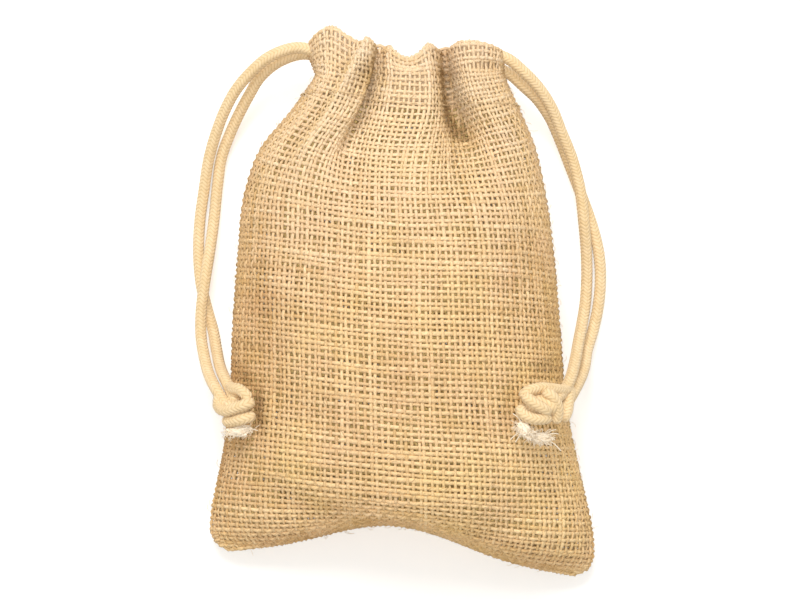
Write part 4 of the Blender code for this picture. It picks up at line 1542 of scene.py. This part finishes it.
def plait_height(around: Array, along: Array) -> Array:
    """Height of a braided cord's plaits, 0 down between them to 1.

    Args:
        around: places round the cord, 0 to 1.
        along: places along it, in millimetres.

    Returns:
        The heights.
    """
    column = around * BRAID_COLUMNS
    side = column % 1.0 - 0.5
    lean = 2.0 * (np.floor(column) % 2.0) - 1.0
    phase = 2.0 * ((along / BRAID_PITCH + side * lean * BRAID_SLOPE) % 1.0) - 1.0
    seam = 1.0 - BRAID_SEAM * np.abs(2.0 * side) ** BRAID_SEAM_POWER
    return (1.0 - phase**2) ** BRAID_ROUNDNESS * seam


@dataclass
class BraidedTube:
    """Lengths of braided cord, each with its relief, gathered into one mesh.

    Its ends close over end_rings, to the square root of least_end of its thickness.
    """

    radius: float = CORD_DIAMETER / 2.0
    sides: int = 30
    ring_spacing: float = 0.26
    strip_length: float = 45.0
    end_rings: int = 6
    least_end: float = 0.05
    points: list[Array] = field(default_factory=list)
    faces: list[Array] = field(default_factory=list)
    maps: list[Array] = field(default_factory=list)
    strips: list[Array] = field(default_factory=list)
    caps: list[list[int]] = field(default_factory=list)
    laid: int = 0

    def add(self, path: Array, squeeze: float = 1.0) -> None:
        """Lay a length of cord.

        Args:
            path: points a ring's spacing apart, in millimetres.
            squeeze: its thickness as a share of the free cord's.
        """
        ahead = unit(np.gradient(path, axis=0))
        up = np.zeros_like(path)
        up[0] = unit(np.cross(ahead[0], FIRST_SIDE))
        for k in range(1, len(path)):
            kept = up[k - 1] - ahead[k] * float(up[k - 1] @ ahead[k])
            up[k] = kept / np.linalg.norm(kept)
        side = np.cross(ahead, up)
        along = run_length(path)
        around = np.arange(self.sides) / self.sides
        angle = around * 2.0 * math.pi
        rings = len(path)
        relief = plait_height(around[None, :], along[:, None])
        width = self.radius * squeeze - BRAID_RELIEF * (1.0 - relief)
        from_end = np.minimum(np.arange(rings), np.arange(rings)[::-1]) / self.end_rings
        closing = 1.0 - (1.0 - np.clip(from_end, 0.0, 1.0)) ** 2
        width = width * np.sqrt(np.clip(closing, self.least_end, 1.0))[:, None]
        cosine, sine = (turn[None, :, None] for turn in (np.cos(angle), np.sin(angle)))
        spokes = cosine * up[:, None] + sine * side[:, None]
        base = sum(len(p) for p in self.points)
        self.points.append((path[:, None] + spokes * width[..., None]).reshape(-1, 3))
        ring, spoke = np.meshgrid(np.arange(rings - 1), np.arange(self.sides), indexing="ij")
        after = (spoke + 1) % self.sides
        quads = np.stack([ring, ring, ring + 1, ring + 1]) * self.sides
        quads = quads + np.stack([spoke, after, after, spoke])
        self.faces.append(base + quads.reshape(4, -1).T)
        u = np.stack([spoke, spoke + 1, spoke + 1, spoke]).reshape(4, -1).T / self.sides
        place = np.stack([ring, ring, ring + 1, ring + 1]).reshape(4, -1).T
        self.maps.append(np.stack([u, along[place] * MM], axis=-1).reshape(-1, 2))
        number = np.floor(along[ring.reshape(-1)] / self.strip_length)[:, None]
        v = np.clip(along[place] / self.strip_length - number, 0.0, 1.0)
        strip = self.laid + number + STRIP_EDGE + (1.0 - 2.0 * STRIP_EDGE) * u
        upward = MAP_EDGE_ALONG + (1.0 - 2.0 * MAP_EDGE_ALONG) * v
        self.strips.append(np.stack([strip, upward], axis=-1).reshape(-1, 2))
        self.laid += int(number.max()) + 1
        self.caps.append(list(range(base + self.sides - 1, base - 1, -1)))
        last = base + (rings - 1) * self.sides
        self.caps.append(list(range(last, last + self.sides)))

    def finish(self, name: str, material: Material) -> Mesh:
        """Make the mesh, with its map round and along and its flat map.

        Args:
            name: the mesh's name.
            material: the cord's finish.

        Returns:
            The mesh.
        """
        quads = np.concatenate(self.faces)
        mesh = bpy.data.meshes.new(name)
        mesh.from_pydata(np.concatenate(self.points) * MM, [], [*quads.tolist(), *self.caps])
        mesh.shade_smooth()
        mesh.materials.append(material)
        corners = sum(len(cap) for cap in self.caps)
        strips = np.concatenate(self.strips)
        strips[:, 0] = strips[:, 0] / self.laid
        for label, values in (("yarn", np.concatenate(self.maps)), ("OFBake", strips)):
            write_map(mesh, label, np.concatenate([values, np.zeros((corners, 2))]))
        return mesh


@dataclass
class StopperKnot:
    """The overhand knot that joins a pair of strands, with its frayed ends.

    A pair is the least and the most, and a hump is what it has at the ends, then how much
    more in the middle. Halves, shifts and spreads are shares of the cut end's own sizes.
    """

    knot: Knot
    workshop: Workshop
    fibre_count: int = 150
    yarn_count: int = 26
    yarn_half: Pair = (0.40, 0.72)
    yarn_turn: float = 0.38
    yarn_shift: float = 0.3
    yarn_spread: float = 0.7
    yarn_radius: Pair = (0.46, 0.74)
    root_shift: float = 0.85
    root_spread: float = 0.5
    spread_hump: Pair = (0.45, 0.55)
    radius_hump: Pair = (0.55, 0.45)
    fibre_outward: float = 0.55
    fibre_curl: float = 0.3
    fibre_length: Pair = (0.9, 2.4)
    fibre_turns: Pair = (0.8, 1.7)
    fibre_radius: Pair = (0.07, 0.13)
    fibre_taper: float = 0.6
    stray_radius: float = 0.17
    stray_sink: float = 1.2
    stray_bend: Triple = (0.3, 0.7, 0.6)
    stray_tone: float = 0.8
    tones: Pair = (0.2, 1.0)
    path_points: int = 8
    core_points: int = 24

    def build(self) -> list[Piece]:
        """Build the knot and its frayed ends.

        Returns:
            The pieces, the knot first.
        """
        tube = BraidedTube()
        for turn in self.knot.turns:
            tube.add(smooth_route(turn, tube.ring_spacing))
        core = np.linspace(-1.0, 1.0, self.core_points)[:, None]
        core = core * np.array([self.knot.core_half, 0.0, 0.0])
        tube.add(np.array(self.knot.core) + core, self.knot.core_radius / tube.radius)
        name = self.knot.name.replace("knot", "tied")
        turns = as_piece(name, tube.finish(name, self.workshop.braid))
        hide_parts(self.knot.name)
        side = self.knot.name.removeprefix("knot_")
        ends = [row for row in FRAYS if row.name.startswith(f"fray_{side}")]
        seeds = range(self.knot.seed, self.knot.seed + len(ends))
        return [turns, *(self.fray_out(row, seed) for row, seed in zip(ends, seeds))]

    def fray_out(self, fray: Fray, seed: int) -> Piece:
        """Let the cut end's yarns and fibres loose.

        Args:
            fray: the end's row.
            seed: for its fibres.

        Returns:
            The piece.
        """
        rng = np.random.default_rng(seed)
        bundle = StrandBundle()
        centre = np.array(fray.centre)
        outward = np.array([math.sin(fray.outward), -math.cos(fray.outward), 0.0])
        band = np.array([math.cos(fray.band), math.sin(fray.band), 0.0])
        steps = np.linspace(0.0, 1.0, self.path_points)[:, None]
        hump = np.sin(steps * math.pi)
        for k in range(self.yarn_count + self.fibre_count):
            spread = unit(rng.normal(size=3))
            if k < self.yarn_count:
                half = fray.half_length * rng.uniform(*self.yarn_half)
                lie = unit(band + self.yarn_turn * unit(rng.normal(size=3)))
                shift = rng.uniform(-self.yarn_shift, self.yarn_shift) * fray.half_length
                path = centre + lie * half * (2.0 * steps - 1.0) + band * shift
                swell = self.spread_hump[0] + self.spread_hump[1] * hump
                path = path + spread * fray.reach * self.yarn_spread * swell
                swell = self.radius_hump[0] + self.radius_hump[1] * hump[:, 0] ** 0.5
                width = rng.uniform(*self.yarn_radius) * swell
            else:
                shift = band * fray.half_length * rng.uniform(-self.root_shift, self.root_shift)
                root = centre + shift + spread * fray.reach * self.root_spread
                heading = unit(self.fibre_outward * outward + spread)
                length = rng.uniform(*self.fibre_length)
                curl = np.sin(steps * math.pi * rng.uniform(*self.fibre_turns))
                curl = curl * rng.normal(size=3) * length * self.fibre_curl
                path = root + heading * steps * length + curl
                taper = 1.0 - self.fibre_taper * steps[:, 0] ** 3
                width = rng.uniform(*self.fibre_radius) * taper
            self.add_fibre(bundle, path, centre[2], width, rng.uniform(*self.tones))
        for tip in fray.strays:
            reach = np.array([*tip, centre[2] - self.stray_sink]) - centre
            path = centre + reach * steps + hump * np.array(self.stray_bend)
            width = np.full(self.path_points, self.stray_radius)
            self.add_fibre(bundle, path, centre[2], width, self.stray_tone)
        shop = self.workshop
        mesh = bundle.spin(fray.name, shop.spinning, shop.loose, THREAD_SIDES, ROUND)
        piece = as_piece(fray.name.replace("fray", "loose_ends"), mesh)
        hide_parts(fray.name)
        return piece

    @staticmethod
    def add_fibre(
        bundle: StrandBundle, path: Array, middle: float, width: Array, tone: float
    ) -> None:
        """Add a loose yarn or fibre to the bundle, kept clear of the cloth under it.

        Args:
            bundle: what it goes in.
            path: its points, in millimetres.
            middle: the height of the cut end's middle.
            width: its radius at each point.
            tone: how pale it is.
        """
        path = path.copy()
        path[:, 2] = np.maximum(path[:, 2], middle - FRAY_DROP)
        ahead = unit(np.gradient(path, axis=0))
        lies = unit(np.cross(ahead, FIBRE_SIDE))
        bundle.add(path, lies, width, np.full(len(path), tone))


@dataclass
class Drawstring:
    """One free strand of drawstring cord, from the casing to its knot."""

    name: str
    workshop: Workshop
    path_step: int = 4

    def build(self, going_with: list[Piece]) -> Piece:
        """Args:
            going_with: the knot and frayed ends that go with the cord; not used.

        Returns:
            The piece.
        """
        tube = BraidedTube()
        path = smooth_route(CORD_ROUTES[self.name], tube.ring_spacing)
        tube.add(path)
        mesh = tube.finish(self.name, self.workshop.braid)
        piece = as_piece(f"braid_{self.name}", mesh)
        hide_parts(f"cord_{self.name}")
        return piece


# -------------------------------------------------------------------- the cloth
@dataclass
class SackCloth:
    """The sack's burlap, woven yarn by yarn: a face and a back, folded at the bottom.

    Sizes are in millimetres, and the rest are shares. A run has its start and its end, with
    its top between them if it has three. A shut or corner pair has its start and how far on
    it is full. A hold is over how many samples a random value holds. The slub and the
    tone's spread are from yarn to yarn, then along each.
    """

    workshop: Workshop
    warps: int = 74
    picks: int = 93
    turned_picks: int = 10
    warp_radius: float = 0.58
    weft_radius: float = 0.67
    back_fullness: float = 1.34
    flatness: float = 0.82
    face_sides: int = 6
    back_sides: int = 4
    crimp: float = 0.38
    crimp_share: float = 0.8
    stray: float = 0.10
    stray_holds: tuple[int, int] = (9, 8)
    slub: Pair = (0.06, 0.11)
    slub_range: Pair = (0.72, 1.42)
    slub_hold: int = 9
    tone: float = 0.5
    tone_spread: Pair = (0.11, 0.12)
    tone_hold: int = 14
    tone_range: Pair = (-0.6, 1.0)
    turn_radius: float = 1.0
    turn_depth: float = 20.0
    onward_step: float = 0.01
    seam_limit: float = 0.995
    flank_thinning: float = 0.15
    neck_thinning: float = 0.12
    neck_run: Pair = (0.68, 0.82)
    shut_foot: Pair = (0.04, 0.06)
    shut_mouth: Pair = (0.97, -0.05)
    shut_sides: Pair = (0.95, -0.10)
    arch_rise: float = 11.0
    arch_run: Triple = (0.60, 0.83, 1.02)
    arch_power: float = 2.5
    seam_turn: float = 0.8
    seam_set: float = 0.4
    tuck: float = 1.6
    rim_thinning: float = 0.22
    corner_draw: float = 1.5
    corner_sides: Pair = (0.75, 0.25)
    corner_foot: Pair = (0.16, -0.12)
    shut_edge: float = 0.8
    hair_density: float = 70000.0
    hair_lengths: Pair = (1.0, 3.6)
    hair_radius: float = 0.045
    hair_cell: Pair = (3.3, 0.28)
    hair_steps: tuple[int, int] = (6, 8)
    hair_depth: float = 0.3
    hair_tone: float = 0.8
    back_hair_share: float = 0.25
    stitch_pitch: float = 3.4
    stitch_radius: float = 0.2
    stitch_set: float = 1.2
    stitch_clear: float = 0.12
    stitch_run: float = 0.99
    stitch: tuple[float, ...] = (1.0, 1.0, 1.0, -0.6)
    seed: int = 4217

    def mid_depth(self) -> float:
        """How far the yarns' middle plane lies under the outer side."""
        return self.weft_radius * self.flatness + self.crimp * self.crimp_share

    def place(self, surface: ClothSurface, s: Array, t: Array) -> tuple[Array, Array, Array]:
        """Where the cloth's middle plane lies, with its mouth edge turned in.

        Args:
            surface: the leaf's outer side.
            s: places across, -1 to 1.
            t: places along from the bottom fold, in millimetres of cloth.

        Returns:
            Points, the normals of the cloth's outer side there, and its painted shade.
        """
        reach = FLAT_LENGTH - self.turn_radius
        arc = math.pi * self.turn_radius
        inside = np.clip(t - reach - arc, 0.0, None)
        v = (np.minimum(t, reach) - inside) / FLAT_LENGTH
        point, normal, shade = surface.at(s, v)
        onward = unit(point - surface.at(s, v - self.onward_step)[0])
        point = point - normal * self.mid_depth()
        angle = np.clip((t - reach) / self.turn_radius, 0.0, math.pi)[..., None]
        sine, cosine = np.sin(angle), np.cos(angle)
        point = point + self.turn_radius * (sine * onward - (1.0 - cosine) * normal)
        return point, unit(cosine * normal + sine * onward), shade

    def lattice(self, rng: np.random.Generator) -> tuple[Array, Array]:
        """Where the yarns cross, with the weave's unevenness.

        Args:
            rng: the seeded source.

        Returns:
            Places across and places along, both as picks by warps.
        """
        picks = self.picks + self.turned_picks
        pitch = FLAT_LENGTH / self.picks
        across = (np.arange(self.warps) + 0.5) * 2.0 / self.warps - 1.0
        along = (np.arange(picks) + 0.5) * pitch
        stray = wander(rng, self.warps, picks, self.stray_holds[0]).T
        s = across + stray * self.stray * 2.0 / self.warps
        stray = wander(rng, picks, self.warps, self.stray_holds[1])
        t = along[:, None] + stray * self.stray * pitch
        s = np.clip(s, -self.seam_limit, self.seam_limit)
        v = t / FLAT_LENGTH
        start, top, end = self.arch_run
        arch = smooth_step(v, start, top - start) * smooth_step(v, end, top - end)
        return s, t + self.arch_rise * arch * np.abs(s) ** self.arch_power

    def weave(self, surface: ClothSurface) -> dict[Yarns, StrandBundle]:
        """Lay every yarn of a leaf.

        Args:
            surface: the leaf's outer side.

        Returns:
            The warp and the weft.
        """
        back = surface.leaf is Leaf.BACK
        rng = np.random.default_rng(self.seed + back)
        s, t = self.lattice(rng)
        picks, warps = s.shape
        parity = 1.0 - 2.0 * ((np.arange(picks)[:, None] + np.arange(warps) + back) % 2)
        woven = {}
        for yarns in Yarns:
            warp = yarns is Yarns.WARP
            count, run = (warps, picks) if warp else (picks, warps)
            samples = 2 * run + 1
            radius = self.warp_radius if warp else self.weft_radius
            radius = radius * (self.back_fullness if back else 1.0)
            slub = wander(rng, count, samples, self.slub_hold)
            thick = 1.0 + self.slub[0] * rng.normal(size=(count, 1)) + self.slub[1] * slub
            thick = np.clip(radius * thick, *(limit * radius for limit in self.slub_range))
            tone = self.tone + self.tone_spread[0] * rng.normal(size=(count, 1))
            tone = tone + self.tone_spread[1] * wander(rng, count, samples, self.tone_hold)
            bundle = StrandBundle()
            for k in range(count):
                if warp:
                    path_s = self.halves(s[:, k], s[0, k], s[-1, k])
                    path_t = self.halves(t[:, k], 0.0, t[-1, k] + 1.0)
                    sign = parity[:, k]
                else:
                    path_s = self.halves(s[k], -1.0, 1.0)
                    path_t = self.halves(t[k], t[k, 0], t[k, -1])
                    sign = -parity[k]
                self.lay_yarn(bundle, surface, warp, path_s, path_t, sign, thick[k], tone[k])
            woven[yarns] = bundle
        return woven

    def lay_yarn(
        self,
        bundle: StrandBundle,
        surface: ClothSurface,
        warp: bool,
        s: Array,
        t: Array,
        sign: Array,
        thick: Array,
        tone: Array,
    ) -> None:
        """Lay one yarn along its places.

        Args:
            bundle: what it goes in.
            surface: the leaf's outer side.
            warp: a warp, or else a weft.
            s: its places across, at its ends, its crossings and half way between.
            t: its places along.
            sign: at each crossing, 1 where it passes over and -1 where it passes under.
            thick: its radius.
            tone: how pale it is.
        """
        taut = 1.0 - self.flank_thinning * np.abs(s) ** 3
        start, end = self.neck_run
        taut = taut - self.neck_thinning * smooth_step(t / FLAT_LENGTH, start, end - start)
        offset = np.zeros(len(s))
        offset[1::2] = sign * self.crimp
        point, normal, shade = self.place(surface, s, t)
        point = point + normal * offset[:, None]
        # The yarn's tone takes off the painted shade of the cloth under it, or adds painted light
        # where that is below nought.
        thick, tone = thick * taut, np.clip(tone - shade, *self.tone_range)
        hidden = self.shut_in(s, t)
        if surface.leaf is Leaf.BACK:
            thick = thick * (1.0 - self.rim_thinning * (1.0 - hidden))
            point = self.draw_in(point, s, t)
        if not warp:
            point = self.round_seams(point, surface.leaf)
            normal, thick, tone, hidden = (
                np.concatenate([row[[0, 0]], row, row[[-1, -1]]])
                for row in (normal, thick, tone, hidden)
            )
        point[:, 2] = np.maximum(point[:, 2], thick * self.flatness)
        # The shut-in share is where the jute finish paints bounced light.
        bundle.add(point, normal, thick, tone, self.shut_edge * hidden)

    def shut_in(self, s: Array, t: Array) -> Array:
        """How far the cloth's inner side is out of sight at cloth places, 0 to 1.

        Args:
            s: the places across.
            t: the places along.

        Returns:
            A value for each place.
        """
        v = t / FLAT_LENGTH
        ends = smooth_step(v, *self.shut_foot) * smooth_step(v, *self.shut_mouth)
        return ends * smooth_step(np.abs(s), *self.shut_sides)

    def draw_in(self, point: Array, s: Array, t: Array) -> Array:
        """Draw the back's bottom corners in under the face.

        Args:
            point: a yarn's points.
            s: their places across.
            t: their places along.

        Returns:
            The points, moved.
        """
        corner = smooth_step(np.abs(s), *self.corner_sides)
        corner = corner * smooth_step(t / FLAT_LENGTH, *self.corner_foot)
        heart = np.array([0.0, HEART_RUN[0], 0.0])
        inward = unit((heart - point) * np.array([1.0, 1.0, 0.0]))
        return point + self.corner_draw * corner[:, None] * inward

    def round_seams(self, point: Array, leaf: Leaf) -> Array:
        """Lead a weft over both side seams and end it inside the sack.

        Args:
            point: its points, from seam to seam.
            leaf: the leaf it belongs to.

        Returns:
            The points, with two more at each end.
        """
        over = np.array([0.0, 0.0, -self.seam_turn if leaf is Leaf.FACE else self.seam_turn])
        ends = point[[0, -1]]
        inside = np.array([0.0, float(np.clip(ends[0, 1], *HEART_RUN)), HEART_HEIGHT])
        inward = unit(inside - ends)
        ends = ends + self.seam_set * inward
        turned = ends + over
        tucked = turned + self.tuck * inward
        left, right = (tucked[:1], turned[:1], ends[:1]), (ends[1:], turned[1:], tucked[1:])
        return np.concatenate([*left, point[1:-1], *right])

    @staticmethod
    def halves(crossings: Array, first: float, last: float) -> Array:
        """A yarn's places: its two ends, its crossings and the points half way between.

        Args:
            crossings: the places of its crossings.
            first: where it starts.
            last: where it ends.

        Returns:
            All its places, in order.
        """
        full = np.empty(2 * len(crossings) + 1)
        full[1::2] = crossings
        full[2:-1:2] = (crossings[1:] + crossings[:-1]) / 2.0
        full[0], full[-1] = first, last
        return full

    def stitch_casing(self, surface: ClothSurface) -> Piece:
        """Run the thread that sews the turned hem down.

        Args:
            surface: the leaf's outer side.

        Returns:
            The piece.
        """
        stitches = round(FLAT_WIDTH / self.stitch_pitch)
        samples = len(self.stitch) * stitches + 1
        s = np.linspace(-self.stitch_run, self.stitch_run, samples)
        t = np.full_like(s, FLAT_LENGTH - self.turn_depth + self.stitch_set)
        point, normal, _ = self.place(surface, s, t)
        high = self.mid_depth() + self.stitch_clear
        dip = np.append(np.tile(self.stitch, stitches), self.stitch[0])
        point = point + normal * (dip * high)[:, None]
        bundle = StrandBundle()
        bundle.add(point, normal, np.full(len(s), self.stitch_radius), np.full(len(s), 0.5))
        name = f"casing_stitches_{surface.leaf.value}"
        shop = self.workshop
        mesh = bundle.spin(name, shop.spinning, shop.thread, THREAD_SIDES, ROUND)
        return as_piece(name, mesh)

    def grow_hairs(self, surface: ClothSurface) -> Piece:
        """Let stray jute hairs stand off the cloth.

        Args:
            surface: the leaf's outer side.

        Returns:
            The piece.
        """
        points = surface.points - self.hair_depth * surface.normals
        points = points[:: self.hair_steps[0], :: self.hair_steps[1]]
        rows, columns = points.shape[:2]
        corner = np.arange(rows * columns).reshape(rows, columns)
        quads = [corner[:-1, :-1], corner[:-1, 1:], corner[1:, 1:], corner[1:, :-1]]
        quads = np.stack(quads, axis=-1).reshape(-1, 4)
        back = surface.leaf is Leaf.BACK
        if back:
            quads = quads[:, ::-1]
        grid = bpy.data.meshes.new("hair_roots")
        grid.from_pydata(points.reshape(-1, 3) * MM, [], quads.tolist())
        feeds = {
            "Density": self.hair_density * (self.back_hair_share if back else 1.0),
            "Shortest": self.hair_lengths[0] * MM,
            "Longest": self.hair_lengths[1] * MM,
            "Thickness": self.hair_radius * MM,
            "Seed": self.seed,
            "Material": self.workshop.jute,
        }
        mesh = run_modifier(grid, self.workshop.hairs, feeds)
        for vertex in mesh.vertices:
            vertex.co.z = max(vertex.co.z, 0.0)
        strands = int(round(float(read_attribute(mesh, "strand").max()))) + 1
        write_attribute(mesh, "tone", np.full(len(mesh.vertices), self.hair_tone))
        lay_out(mesh, strands, *self.hair_cell)
        LOG.info("hairs on the %s: %d", surface.leaf.value, strands)
        return as_piece(f"stray_hairs_{surface.leaf.value}", mesh)

    def build(self) -> None:
        """Weave and sew both leaves."""
        for leaf in Leaf:
            surface = ClothSurface(leaf)
            sides = self.face_sides if leaf is Leaf.FACE else self.back_sides
            shop, laid = self.workshop, {}
            for yarns, bundle in self.weave(surface).items():
                name = f"{yarns.value}_{leaf.value}"
                mesh = bundle.spin(name, shop.spinning, shop.jute, sides, self.flatness)
                laid[yarns] = as_piece(name, mesh)
            extras = [self.stitch_casing(surface), self.grow_hairs(surface)]
            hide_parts("sack")


def main() -> None:
    """Build the studio, then the drawstrings, then the cloth."""
    logging.basicConfig(level=logging.INFO, format="%(name)s: %(message)s")
    Studio().build()
    workshop = Workshop.fit_out()
    for knot in KNOTS:
        tied = StopperKnot(knot, workshop).build()
        side = knot.name.removeprefix("knot_")
        for lie in ("under", "over"):
            Drawstring(f"{side}_{lie}", workshop).build(tied)
    SackCloth(workshop).build()


if __name__ == "__main__":
    main()
